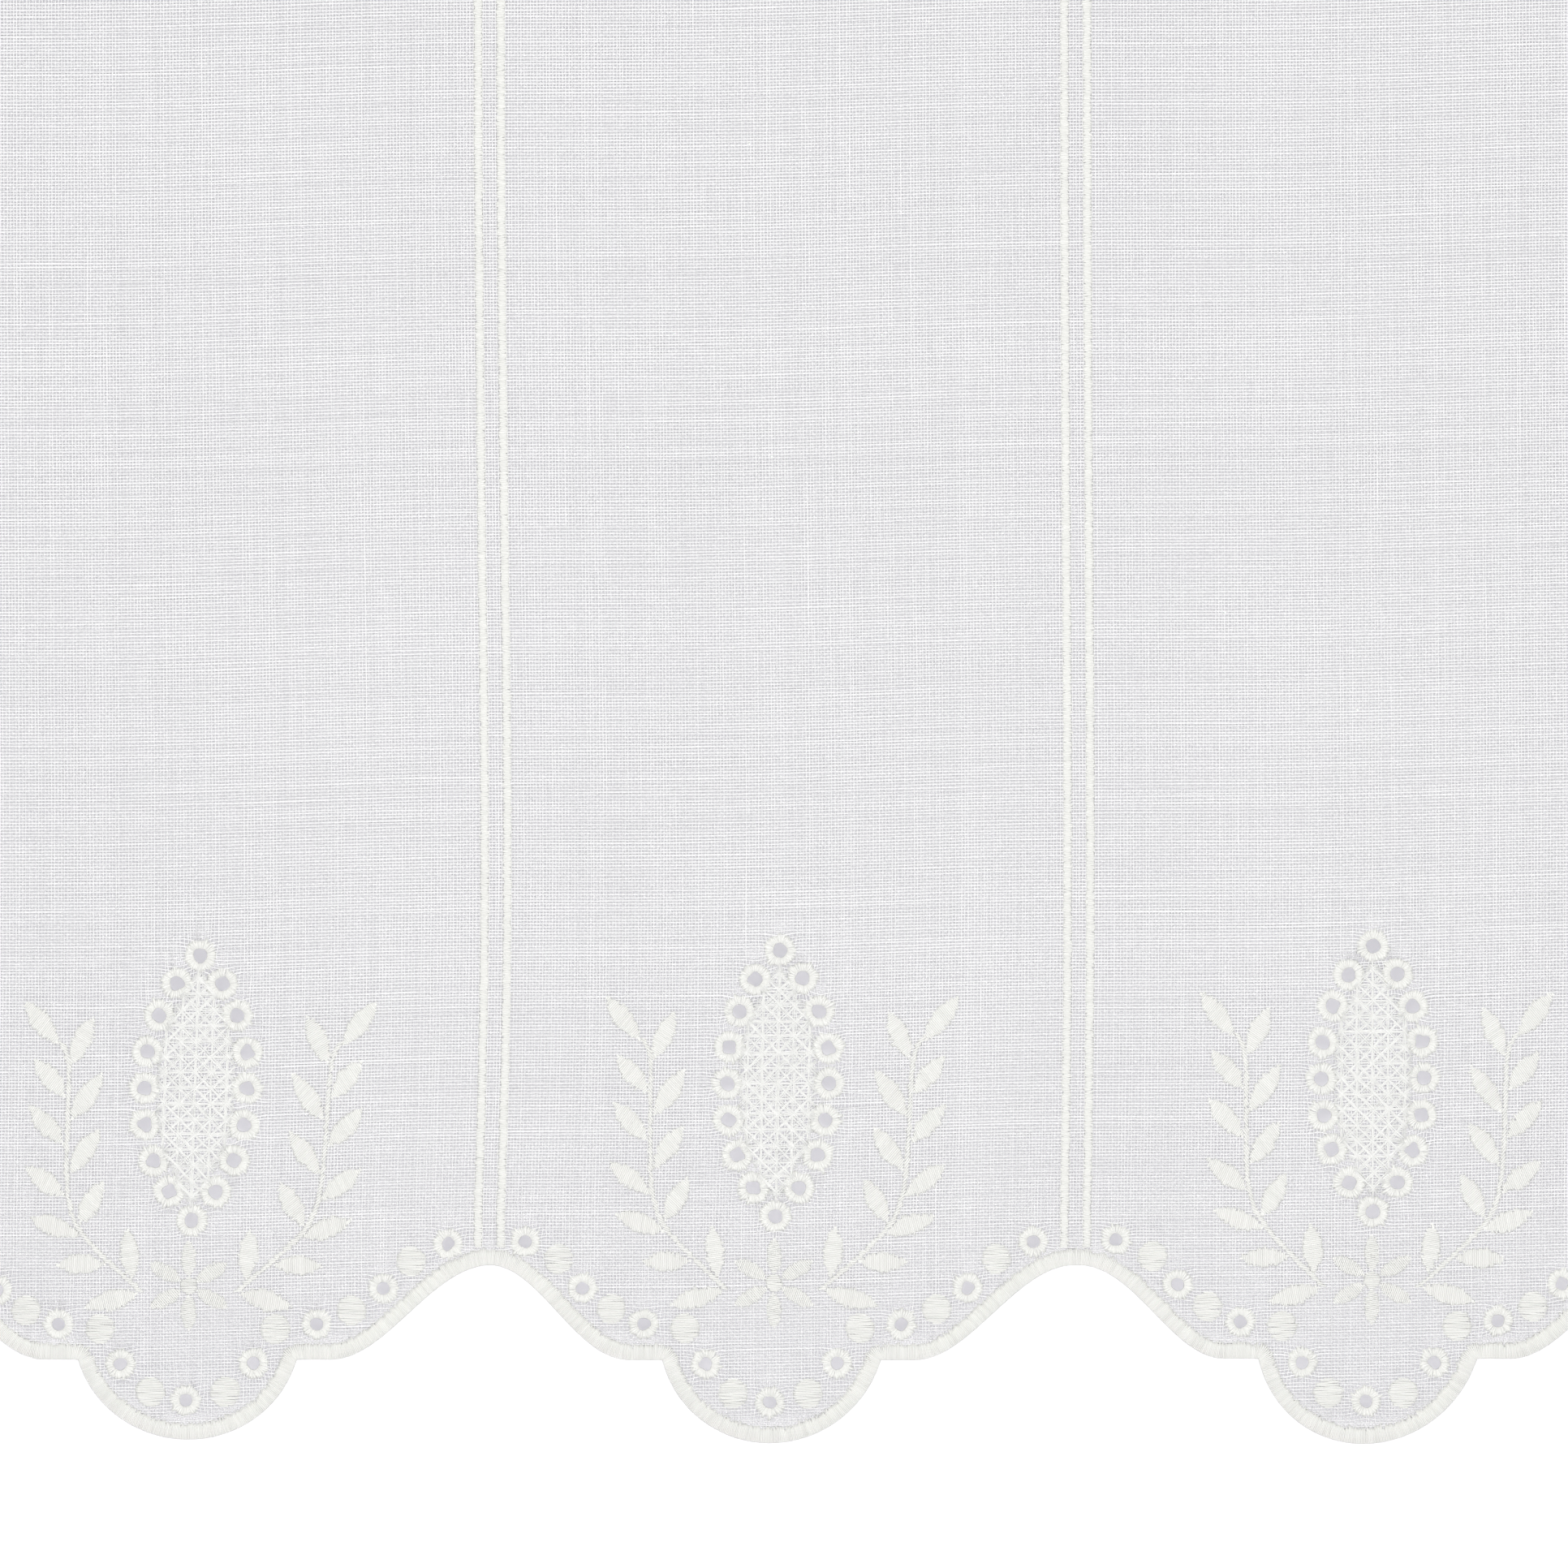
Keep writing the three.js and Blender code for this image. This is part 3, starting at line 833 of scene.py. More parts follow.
@dataclass
class GroundCloth:
    """The open plain weave, with its folded hems, as warp and weft yarns.

    Yarns end under the rims of the eyelets and inside the hem's edging. Close to a rim the
    stitches have drawn the yarns in, so the weave is open there.
    """

    layout: Layout
    pitch: float = 0.871 * MM
    warp_half_width: float = 0.24 * MM
    weft_half_width: float = 0.31 * MM
    yarn_front: float = 0.08 * MM
    yarn_ridge: float = 0.2 * MM
    layer_offset: float = 0.006 * MM
    depth_levels: int = 3
    spacing_spread: float = 0.03 * MM
    coarse_step: float = 13.5 * MM
    close_step: float = 1.4 * MM
    test_step: float = 0.5 * MM
    close_reach: float = 3.2 * MM
    shortest: float = 0.8 * MM
    edge_inset: float = 1.5 * MM
    rim_inset: float = 0.9 * MM
    draw_in: float = 0.75 * MM
    draw_reach: float = 1.4 * MM
    draw_fade: float = 0.28 * MM
    draw_spread: tuple[float, float] = (0.8, 1.2)
    draw_limit: float = 30.0
    weft_tilt: float = 0.02
    weft_wave: float = 0.4 * MM
    wave_start: float = 25 * MM
    tilt_fade: float = 60 * MM
    side_hem: float = 6 * MM
    fold_radius: float = 0.45 * MM
    waves: tuple[tuple[float, float], ...] = ((61 * MM, 0.05 * MM), (27 * MM, 0.035 * MM))
    swells: tuple[tuple[float, float], ...] = ((83 * MM, 0.07), (31 * MM, 0.07))
    slubs_each: dict[Run, float] = field(default_factory=lambda: {Run.WARP: 0.3, Run.WEFT: 1.1})
    slub_length: tuple[float, float] = (8 * MM, 45 * MM)
    slub_gain: tuple[float, float] = (0.15, 0.42)
    slub_stops: tuple[float, ...] = (-1.6, -0.8, 0.0, 0.8, 1.6)
    closest_share: float = 0.6
    hem_points: int = 9
    hem_thinning: float = 0.12
    thin_start: float = -360 * MM
    thin_fade: float = 50 * MM
    seed: int = 11

    def __post_init__(self) -> None:
        """Gathers what the yarns have to pass."""
        self.random = np.random.default_rng(self.seed)
        self.edge = self.layout.hem_line()
        self.discs = np.array([(d.x, d.z, d.inner, d.outer) for d in self.layout.eyelets()])
        self.pulls = self.draw_in * self.random.uniform(*self.draw_spread, len(self.discs))

    def settled(self, x: np.ndarray, z: np.ndarray) -> tuple[np.ndarray, np.ndarray]:
        """Moves points of the flat weave to where the cloth hangs.

        Args:
            x: Places across the flat weave.
            z: Heights in it.

        Returns:
            The moved x and z.
        """
        lines = self.layout.lines
        bow = np.interp(x, [line.x for line in lines], [line.bow for line in lines])
        share = np.clip(-z / self.tilt_fade, 0.0, 1.0)
        turn = 2 * math.pi * (x - self.wave_start) / self.layout.repeat_width
        rise = self.weft_tilt * x + self.weft_wave * np.sin(turn)
        return x + bow * self.layout.bow_share(z), z + rise * share

    def drawn_in(self, x: np.ndarray, z: np.ndarray, near: np.ndarray) -> tuple[np.ndarray, np.ndarray]:
        """Moves points towards the eyelets, whose stitches have caught and pulled the yarns.

        Args:
            x: Places across the panel.
            z: Heights.
            near: Which discs to count.

        Returns:
            The moved x and z.
        """
        for disc, pull in zip(self.discs[near], self.pulls[near]):
            away_x, away_z = x - disc[0], z - disc[1]
            distance = np.hypot(away_x, away_z) + 1e-9
            past = (distance - disc[3] - self.draw_reach) / self.draw_fade
            fade = 1 + np.exp(np.clip(past, -self.draw_limit, self.draw_limit))
            share = pull * np.minimum(1.0, distance / disc[3]) / fade
            x, z = x - share * away_x / distance, z - share * away_z / distance
        return x, z

    def clearance(self, x: np.ndarray, z: np.ndarray, near: np.ndarray) -> np.ndarray:
        """How far points lie inside the cloth.

        Args:
            x: Places across the panel.
            z: Heights.
            near: Which discs to count.

        Returns:
            The distance of each point, below zero in a bore or past the hem.
        """
        room = z - np.interp(x, self.edge[:, 0], self.edge[:, 1]) - self.edge_inset
        for disc in self.discs[near]:
            room = np.minimum(room, np.hypot(x - disc[0], z - disc[1]) - disc[2] - self.rim_inset)
        return room

    def stretches(self, places: np.ndarray, room: np.ndarray) -> list[tuple[float, float]]:
        """Finds the stretches of a yarn that lie in the cloth.

        Args:
            places: Close places along the yarn.
            room: How far inside the cloth each place is.

        Returns:
            Start and end of each stretch.
        """
        inside = room > 0
        turns = np.flatnonzero(inside[1:] != inside[:-1])
        share = room[turns] / (room[turns] - room[turns + 1])
        ends = places[turns] + share * (places[turns + 1] - places[turns])
        if inside[0]:
            ends = np.concatenate([places[:1], ends])
        if inside[-1]:
            ends = np.concatenate([ends, places[-1:]])
        pairs = zip(ends[::2], ends[1::2])
        return [(a, b) for a, b in pairs if b - a > self.shortest]

    def yarn(self, strands: Strands, run: Run, index: int, base: float) -> None:
        """Lays one yarn, in as many stretches as the holes and the hem leave.

        Args:
            strands: The threads that the yarn joins.
            run: Warp or weft.
            index: The yarn's number, which sets whether it starts over or under.
            base: The yarn's place in the flat weave: x of a warp, z of a weft.
        """
        warp = run is Run.WARP
        crossing = self.gap(Run.WEFT if warp else Run.WARP)
        first = index + (1 if warp else 0)
        reach = self.layout.height if warp else self.layout.width / 2
        low, high = (-reach, 0.0) if warp else (-reach, reach)
        phases = self.random.random(4)
        base = base + self.random.normal(0.0, self.spacing_spread)
        shade = self.random.random(1)
        level = self.random.integers(-self.depth_levels, self.depth_levels + 1)
        depth = (4 * level + (1 if warp else -1)) * self.layer_offset
        slubs = self.slubs(low, high, run)
        path = YarnPath(run, base, phases, self.passed(run, base))
        near = path.near
        tested = np.arange(low, high + self.test_step / 2, self.test_step)
        room = self.clearance(*self.lie(path, tested), near)
        wanted = self.stops(low, high, slubs, near, warp)
        for start, end in self.stretches(tested, room):
            inner = wanted[(wanted > start + self.shortest / 2) & (wanted < end - self.shortest / 2)]
            at = np.concatenate([[start], inner, [end]])
            x, z = self.lie(path, at)
            y = np.full_like(x, depth)
            points = self.folded(np.stack([x, y, z], axis=1), run)
            extra = (len(points) - len(at)) // 2
            at = np.interp(np.arange(len(points)), np.arange(len(at)) + extra, at)
            half = self.warp_half_width if warp else self.weft_half_width
            below = (self.thin_start - points[:, 2]) / self.thin_fade
            thinned = self.hem_thinning * np.clip(below, 0.0, 1.0)
            swell = ripple(at, self.swells, phases[2:]) + self.swelling(at, slubs)
            width = half * (1 + swell - thinned)
            side = np.array([[-1.0, 0.0, 0.0]]) if warp else np.array([[0.0, 0.0, 1.0]])
            strands.add(
                points[None],
                side,
                width[None],
                self.yarn_front,
                np.full((1, len(points)), self.yarn_ridge),
                shade,
                ((at - low) / crossing + first)[None],
            )

    def passed(self, run: Run, base: float) -> np.ndarray:
        """Which eyelets a yarn passes through or close by.

        Args:
            run: Warp or weft.
            base: The yarn's place in the flat weave.

        Returns:
            A true or false value for each eyelet.
        """
        if run is Run.WARP:
            off = self.discs[:, 0] - self.settled(base, self.discs[:, 1])[0]
        else:
            off = self.discs[:, 1] - self.settled(self.discs[:, 0], base)[1]
        return np.abs(off) < self.discs[:, 3] + self.close_reach

    def lie(self, path: YarnPath, at: np.ndarray) -> tuple[np.ndarray, np.ndarray]:
        """Where a yarn lies in the panel's plane.

        Args:
            path: The way of the yarn.
            at: Places along it.

        Returns:
            Its x and z at each place.
        """
        beside = path.base + ripple(at, self.waves, path.phases[:2])
        x, z = self.settled(beside, at) if path.run is Run.WARP else self.settled(at, beside)
        return self.drawn_in(x, z, path.near)

    def slubs(self, low: float, high: float, run: Run) -> np.ndarray:
        """The thick places of a yarn.

        Args:
            low: Where the yarn starts.
            high: Where it ends.
            run: Warp or weft.

        Returns:
            Middle, half length and gain of each thick place.
        """
        count = self.random.poisson(self.slubs_each[run])
        middle = self.random.uniform(low, high, count)
        half = self.random.uniform(*self.slub_length, count) / 2
        return np.stack([middle, half, self.random.uniform(*self.slub_gain, count)], axis=1)

    def swelling(self, at: np.ndarray, slubs: np.ndarray) -> np.ndarray:
        """How much wider than usual a yarn is.

        Args:
            at: Places along the yarn.
            slubs: Its thick places.

        Returns:
            The added share of width at each place.
        """
        total = np.zeros_like(at)
        for middle, half, gain in slubs:
            total += gain * np.exp(-(((at - middle) / half) ** 2))
        return total

    def stops(
        self,
        low: float,
        high: float,
        slubs: np.ndarray,
        near: np.ndarray,
        warp: bool,
    ) -> np.ndarray:
        """Places where a yarn gets points: evenly, and closer by stitches and slubs.

        Args:
            low: Where the yarn starts.
            high: Where it ends.
            slubs: Its thick places.
            near: The eyelets that it passes.
            warp: Whether it is a warp.

        Returns:
            Places along the yarn, in order.
        """
        coarse = np.arange(low + self.random.uniform(0, self.coarse_step), high, self.coarse_step)
        groups = [coarse]
        for disc in self.discs[near]:
            middle, reach = disc[1 if warp else 0], disc[3] + self.close_reach
            groups.append(np.arange(middle - reach, middle + reach, self.close_step))
        for middle, half, _ in slubs:
            groups.append(middle + half * np.array(self.slub_stops))
        merged = np.sort(np.concatenate(groups))
        keep = np.concatenate([[True], np.diff(merged) > self.closest_share * self.close_step])
        return merged[keep]

    def folded(self, points: np.ndarray, run: Run) -> np.ndarray:
        """Carries a yarn that reaches the top or a side round to the back, as a plain hem.

        Args:
            points: The yarn's points.
            run: Warp or weft.

        Returns:
            The points, with those of its folds.
        """
        if run is Run.WARP:
            if points[-1, 2] > -self.test_step:
                turned = self.turn(points[-2], 2, 0.0, self.layout.top_hem, 1.0)
                return np.concatenate([points[:-1], turned])
            return points
        edge = self.layout.width / 2
        if points[0, 2] < self.layout.line_end:
            return points
        if points[-1, 0] > edge - self.close_step:
            points = np.concatenate([points[:-1], self.turn(points[-2], 0, edge, self.side_hem, 1.0)])
        if points[0, 0] < self.close_step - edge:
            turned = self.turn(points[1], 0, -edge, self.side_hem, -1.0)
            points = np.concatenate([turned[::-1], points[1:]])
        return points

    def turn(self, near: np.ndarray, axis: int, edge: float, depth: float, sign: float) -> np.ndarray:
        """Points of a yarn's fold round an edge of the panel.

        Args:
            near: A point of the yarn, which gives its other places.
            axis: The axis that the yarn runs along.
            edge: Where the edge lies on that axis.
            depth: How far the fold comes back.
            sign: The way that the yarn reaches the edge.

        Returns:
            Points from the front, round the edge and back to the fold's end.
        """
        radius = self.fold_radius
        rows = [(radius, 0.0), (0.0, radius), (radius, 2 * radius), (depth, 2 * radius)]
        turned = np.repeat(near[None], len(rows), axis=0)
        for row, (inset, behind) in zip(turned, rows):
            row[axis] = edge - sign * inset
            row[1] += behind
        return turned

    def back_layer(self, strands: Strands, run: Run) -> None:
        """Lays the crossing yarns of the folded hems, behind the cloth.

        Args:
            strands: The threads that the yarns join.
            run: Warp or weft.
        """
        behind = 2 * self.fold_radius + (-1 if run is Run.WEFT else 1) * self.layer_offset
        half = self.weft_half_width if run is Run.WEFT else self.warp_half_width
        rows = []
        reach = self.layout.width / 2
        if run is Run.WEFT:
            heights = -np.arange(self.pitch, self.layout.top_hem, self.pitch)
            for z in heights:
                x = np.linspace(-reach, reach, self.hem_points)
                rows.append(np.stack([x, np.full_like(x, behind), np.full_like(x, z)], axis=1))
            side = np.array([0.0, 0.0, -1.0])
        else:
            inner = np.arange(reach - self.side_hem, reach - self.pitch / 2, self.pitch)
            for x in np.concatenate([-inner, inner]):
                z = np.linspace(self.layout.line_end, -self.layout.top_hem, self.hem_points)
                rows.append(np.stack([np.full_like(z, x), np.full_like(z, behind), z], axis=1))
            side = np.array([1.0, 0.0, 0.0])
        points = np.array(rows)
        points[:, :, [0, 2]] += self.random.normal(0.0, self.spacing_spread, (*points.shape[:2], 2))
        shape = points.shape[:2]
        strands.add(
            points,
            np.repeat(side[None], len(points), axis=0),
            np.full(shape, half),
            self.yarn_front,
            np.full(shape, self.yarn_ridge),
            self.random.random(len(points)),
            np.zeros(shape),
        )

    def build(self, run: Run) -> Strands:
        """Weaves all the yarns of one run.

        Args:
            run: Warp or weft.

        Returns:
            The yarns, with those of the folded hems.
        """
        strands = Strands()
        gap = self.gap(run)
        last = self.layout.width / 2 if run is Run.WARP else 0.0
        below = self.weft_tilt * self.layout.width / 2 + self.weft_wave if run is Run.WEFT else 0.0
        for index in range(round((self.length(run) + below) / gap)):
            self.yarn(strands, run, index, last - (index + 0.5) * gap)
        self.back_layer(strands, run)
        return strands

    def length(self, run: Run) -> float:
        """The length of cloth that the yarns of one run lie side by side in."""
        return self.layout.width if run is Run.WARP else self.layout.height

    def gap(self, run: Run) -> float:
        """The distance between neighbouring yarns of one run."""
        return self.length(run) / int(self.length(run) / self.pitch)


@dataclass
class Stitchwork:
    """Satin stitching: rows of short threads laid side by side, each arched over the cloth."""

    layout: Layout
    seed: int
    pitch: float = 0.4 * MM
    half_width: float = 0.23 * MM
    foot: float = 0.08 * MM
    crest: float = 0.28 * MM
    front: float = 0.07 * MM
    behind: float = 0.4 * MM
    rear: float = 0.37 * MM
    stagger: float = 0.05 * MM
    ragged: float = 0.16 * MM
    crest_spread: tuple[float, float] = (0.93, 1.05)
    width_spread: tuple[float, float] = (0.88, 1.12)
    fewest: int = 4
    least_fullness: float = 0.3
    sway: float = 0.04
    rounds: int = 5
    arch: tuple[tuple[float, float], ...] = ((0.0, 0.2), (0.1, 0.9), (0.9, 0.9), (1.0, 0.2))

    def __post_init__(self) -> None:
        """Starts the seeded draws and the threads."""
        self.random = np.random.default_rng(self.seed)
        self.strands = Strands()

    def lay(
        self,
        starts: np.ndarray,
        ends: np.ndarray,
        crests: np.ndarray | float | None = None,
    ) -> None:
        """Lays stitches between two rows of points.

        Args:
            starts: Where each stitch starts, x and z.
            ends: Where each stitch ends, x and z.
            crests: The height of each arch; the class's own when left out.
        """
        count = len(starts)
        way = unit(ends - starts)
        starts = starts + way * self.random.normal(0.0, self.ragged, (count, 1))
        ends = ends + way * self.random.normal(0.0, self.ragged, (count, 1))
        share, rise = np.array(self.arch).T
        flat = starts[:, None, :] + (ends - starts)[:, None, :] * share[None, :, None]
        tops = np.broadcast_to(self.crest if crests is None else crests, count)
        tops = tops * self.random.uniform(*self.crest_spread, count)
        lift = self.foot + (tops - self.foot)[:, None] * rise[None, :]
        self.thread(flat, lift, way)
        self.underside(flat[:, [0, -1]], way)

    def underside(
        self,
        flat: np.ndarray,
        way: np.ndarray,
        half_width: np.ndarray | None = None,
    ) -> None:
        """Carries stitches straight across the back of the cloth.

        Args:
            flat: Start and end in the panel's plane, stitches by two by two.
            way: The way that each stitch runs, in the panel's plane.
            half_width: Half the width at start and end; the class's own when left out.
        """
        count = len(flat)
        shade = np.arange(count) * GOLDEN % 1.0
        depth = np.repeat(self.rear + self.stagger * shade[:, None], 2, axis=1)
        along = np.stack([way[:, 0], np.zeros(count), way[:, 1]], axis=-1)
        width = self.half_width if half_width is None else half_width
        self.strands.add(
            np.stack([flat[..., 0], depth, flat[..., 1]], axis=-1),
            np.cross(FORWARD, along),
            np.broadcast_to(width, depth.shape),
            self.front,
            depth,
            shade,
            flat=True,
        )

    def thread(
        self,
        flat: np.ndarray,
        lift: np.ndarray,
        way: np.ndarray,
        half_width: np.ndarray | float | None = None,
    ) -> None:
        """Adds stitches as threads.

        Args:
            flat: Points in the panel's plane, stitches by points by two.
            lift: How far each point stands in front of the cloth.
            way: The way that each stitch runs, in the panel's plane.
            half_width: Half the width at each point; the class's own when left out.
        """
        count = len(flat)
        points = np.stack([flat[..., 0], -lift, flat[..., 1]], axis=-1)
        along = np.stack([way[:, 0], np.zeros(count), way[:, 1]], axis=-1)
        width = self.half_width if half_width is None else half_width
        width = width * self.random.uniform(*self.width_spread, (count, 1))
        self.strands.add(
            points,
            np.cross(along, FORWARD),
            np.broadcast_to(width, lift.shape),
            self.front,
            lift + self.behind,
            self.random.random(count),
        )

    def fill_leaf(self, shape: LeafShape, slant: float, crest: float) -> None:
        """Fills a leaf or petal with stitches across it.

        Args:
            shape: The leaf.
            slant: How far the stitches lean from straight across, in radians.
            crest: The height of the widest stitches.
        """
        lean, rise = math.cos(slant), math.sin(slant)
        count = max(self.fewest, int(shape.length * lean / self.pitch))
        at = shape.length * (np.arange(count) + 0.5) / count
        across = np.array([shape.way[1], -shape.way[0]])
        stitch_way = across * lean + shape.way * rise
        middle = shape.root + at[:, None] * shape.way
        left, right = self.reach(shape, at, -rise) / lean, self.reach(shape, at, rise) / lean
        fullness = np.sqrt((left + right) / shape.breadth)
        self.lay(
            middle - left[:, None] * stitch_way,
            middle + right[:, None] * stitch_way,
            self.foot + (crest - self.foot) * np.clip(fullness, self.least_fullness, 1.0),
        )

    def reach(self, shape: LeafShape, at: np.ndarray, rise: float) -> np.ndarray:
        """How far stitches go sideways to a leaf's edge.

        Args:
            shape: The leaf.
            at: Where the stitches cross the leaf's middle line.
            rise: How much they rise along the leaf, for each step sideways.

        Returns:
            The distance to the edge for each stitch.
        """
        sideways = shape.half_breadth(at)
        for _ in range(self.rounds):
            sideways = (sideways + shape.half_breadth(at + rise * sideways)) / 2
        return sideways

    def fill_disc(self, disc: Disc, crest: float) -> None:
        """Fills a disc with level stitches under a low dome.

        Args:
            disc: The disc.
            crest: The height of the dome.
        """
        count = int(2 * disc.outer / self.pitch)
        rise = disc.outer * ((2 * np.arange(count) + 1) / count - 1)
        half = np.sqrt(disc.outer**2 - rise**2)
        sway = self.random.normal(0.0, self.sway, (count, 1)) * half[:, None]
        middle = np.stack([np.full(count, disc.x), disc.z + rise], axis=1)
        reach = np.stack([half, np.zeros(count)], axis=1) + sway * np.array([0.0, 1.0])
        self.lay(middle - reach, middle + reach, crest * np.sqrt(half / disc.outer))


@dataclass
class EyeletRims(Stitchwork):
    """The stitched rims of the bored eyelets, worked outwards from each hole."""

    crest: float = 0.22 * MM
    stitches: int = 56
    overlap: float = 1.6
    uneven: float = 0.045
    bore_waves: int = 3
    turn_spread: float = 0.03
    shift: float = 0.15 * MM
    ray: float = 0.38 * MM
    profile: tuple[tuple[float, float], ...] = ((0.0, -0.2), (0.06, 0.9), (0.7, 1.0), (1.0, 0.4))

    def build(self) -> Strands:
        """Stitches every rim.

        Returns:
            The rims, as threads.
        """
        share, rise = np.array(self.profile).T
        for disc in self.layout.eyelets():
            turn = 2 * math.pi * (np.arange(self.stitches) + self.random.random()) / self.stitches
            turn = turn + self.random.normal(0.0, self.turn_spread, self.stitches)
            waves = self.random.normal(0.0, self.uneven, self.bore_waves)
            phases = self.random.uniform(0, 2 * math.pi, self.bore_waves)
            sway = [w * np.sin((i + 2) * turn + p) for i, (w, p) in enumerate(zip(waves, phases))]
            bore = disc.inner * (1 + sum(sway))
            rim = disc.outer + np.abs(self.random.normal(0.0, self.ray, self.stitches))
            way = np.stack([np.sin(turn), np.cos(turn)], axis=1)
            radius = bore[:, None] + (rim - bore)[:, None] * share[None, :]
            centre = np.array([disc.x, disc.z]) + self.random.normal(0.0, self.shift, 2)
            flat = centre + radius[..., None] * way[:, None, :]
            height = self.crest * self.random.uniform(*self.crest_spread, (self.stitches, 1))
            lift = height * rise[None, :]
            half_width = self.overlap * math.pi * radius / self.stitches
            self.thread(flat, lift, way, half_width)
            self.underside(flat[:, [0, -1]], way, half_width[:, [0, -1]] / self.overlap)
        return self.strands


@dataclass
class PaddedDots(Stitchwork):
    """The padded dots between the hem's eyelets."""

    pitch: float = 0.45 * MM
    half_width: float = 0.235 * MM

    def build(self) -> Strands:
        """Stitches every dot.

        Returns:
            The dots, as threads.
        """
        for disc in self.layout.dots():
            self.fill_disc(disc, self.crest)
        return self.strands


@dataclass
class LeafSprays(Stitchwork):
    """The leaf sprays: leaves stitched across, on stems of short slanting stitches."""

    pitch: float = 0.5 * MM
    half_width: float = 0.265 * MM
    ragged: float = 0.26 * MM
    slant: float = math.radians(14)
    slant_spread: float = 0.04
    stem_stitch: float = 1.9 * MM
    stem_crest: float = 0.32 * MM
    stem_pitch: float = 1.0 * MM

    def build(self) -> Strands:
        """Stitches every spray.

        Returns:
            The sprays, as threads.
        """
        for repeat in self.layout.repeats:
            for side in Side:
                self.stem(repeat, side)
                for shape in self.layout.spray_leaves(repeat, side):
                    slant = -2 * self.slant * shape.way[0] * shape.way[1]
                    swing = self.random.normal(0.0, self.slant_spread)
                    self.fill_leaf(shape, slant + swing, self.crest)
        return self.strands

    def stem(self, repeat: Repeat, side: Side) -> None:
        """Stitches one stem.

        Args:
            repeat: The repeat that the spray belongs to.
            side: The spray's side.
        """
        line = self.layout.stem_line(repeat, side)
        middle = evenly(line, int(lengths_along(line)[-1] / self.stem_pitch))
        way = unit(np.gradient(middle, axis=0))
        across = np.stack([way[:, 1], -way[:, 0]], axis=1)
        aside = self.layout.stem_width / 2 - self.half_width
        reach = way * self.stem_stitch / 2 + side.value * across * aside
        self.lay(middle - reach, middle + reach, self.stem_crest)


@dataclass
class Rosettes(Stitchwork):
    """The rosette between a repeat's two sprays: six petals round a knot."""

    pitch: float = 0.5 * MM
    half_width: float = 0.22 * MM
    slant: float = math.radians(10)
    knot_crest: float = 0.5 * MM

    def build(self) -> Strands:
        """Stitches every rosette.

        Returns:
            The rosettes, as threads.
        """
        for repeat in self.layout.repeats:
            for shape in self.layout.petals(repeat):
                self.fill_leaf(shape, self.slant, self.crest)
            x, z = self.layout.hung(repeat, 0.0, self.layout.rosette_height)
            self.fill_disc(Disc(x, z, 0.0, self.layout.knot_diameter / 2), self.knot_crest)
        return self.strands


@dataclass
class TwinLines(Stitchwork):
    """The stitched lines between the repeats and along the sides."""

    width: float = 2.2 * MM
    tilt_spread: float = 0.05

    def build(self) -> Strands:
        """Stitches every line from the top edge to the hem.

        Returns:
            The lines, as threads.
        """
        start, end = -self.layout.edge_margin, self.layout.line_end
        count = int((start - end) / self.pitch)
        z = np.linspace(start, end, count)
        for line in self.layout.lines:
            x = self.layout.bowed(line, z)
            middle = np.stack([x, z], axis=1)
            tilt = self.random.normal(0.0, self.tilt_spread, count) * self.width
            reach = np.stack([np.full(count, self.width / 2), tilt], axis=1)
            self.lay(middle - reach, middle + reach)
        return self.strands


@dataclass
class ScallopEdging(Stitchwork):
    """The stitched edging of the scalloped hem, its stitches square to the edge."""

    pitch: float = 0.44 * MM
    half_width: float = 0.22 * MM
    crest: float = 0.4 * MM
    crest_spread: tuple[float, float] = (0.85, 1.1)
    ragged: float = 0.26 * MM
    smoothing: float = 1.4 * MM
    profile: tuple[tuple[float, float], ...] = ((0.0, 0.5), (0.05, 0.92), (0.8, 1.0), (1.0, 0.5))

    def build(self) -> Strands:
        """Stitches the hem from left to right.

        Returns:
            The edging, as threads.
        """
        line = self.layout.hem_line()
        line = evenly(line, int(lengths_along(line)[-1] / (self.pitch / 4)))
        inward = self.inward(line)
        inner = line + inward * self.layout.edging_width
        both = (lengths_along(line) + lengths_along(inner)) / 2
        wanted = np.linspace(0.0, both[-1], int(both[-1] / self.pitch))
        at = np.stack([np.interp(wanted, both, line[:, i]) for i in range(2)], axis=1)
        way = unit(np.stack([np.interp(wanted, both, inward[:, i]) for i in range(2)], axis=1))
        share, rise = np.array(self.profile).T
        count = len(at)
        reach = self.layout.edging_width + self.random.normal(0.0, self.ragged, count)
        flat = at[:, None, :] + reach[:, None, None] * share[None, :, None] * way[:, None, :]
        height = self.crest * self.random.uniform(*self.crest_spread, (count, 1))
        lift = height * rise[None, :]
        self.thread(flat, lift, way)
        self.underside(flat[:, [0, -1]], way)
        return self.strands

    def inward(self, line: np.ndarray) -> np.ndarray:
        """The way into the cloth from the hem, turning smoothly at the notches.

        Args:
            line: The hem's edge, as close points.

        Returns:
            The way in at each point, one long.
        """
        way = unit(np.gradient(line, axis=0))
        step = lengths_along(line)[-1] / (len(line) - 1)
        reach = int(3 * self.smoothing / step)
        bell = np.exp(-0.5 * (np.arange(-reach, reach + 1) * step / self.smoothing) ** 2)
        padded = np.pad(way, ((reach, reach), (0, 0)), mode="edge")
        smooth = [np.convolve(padded[:, i], bell / bell.sum(), mode="valid") for i in range(2)]
        return unit(np.stack([-smooth[1], smooth[0]], axis=1))


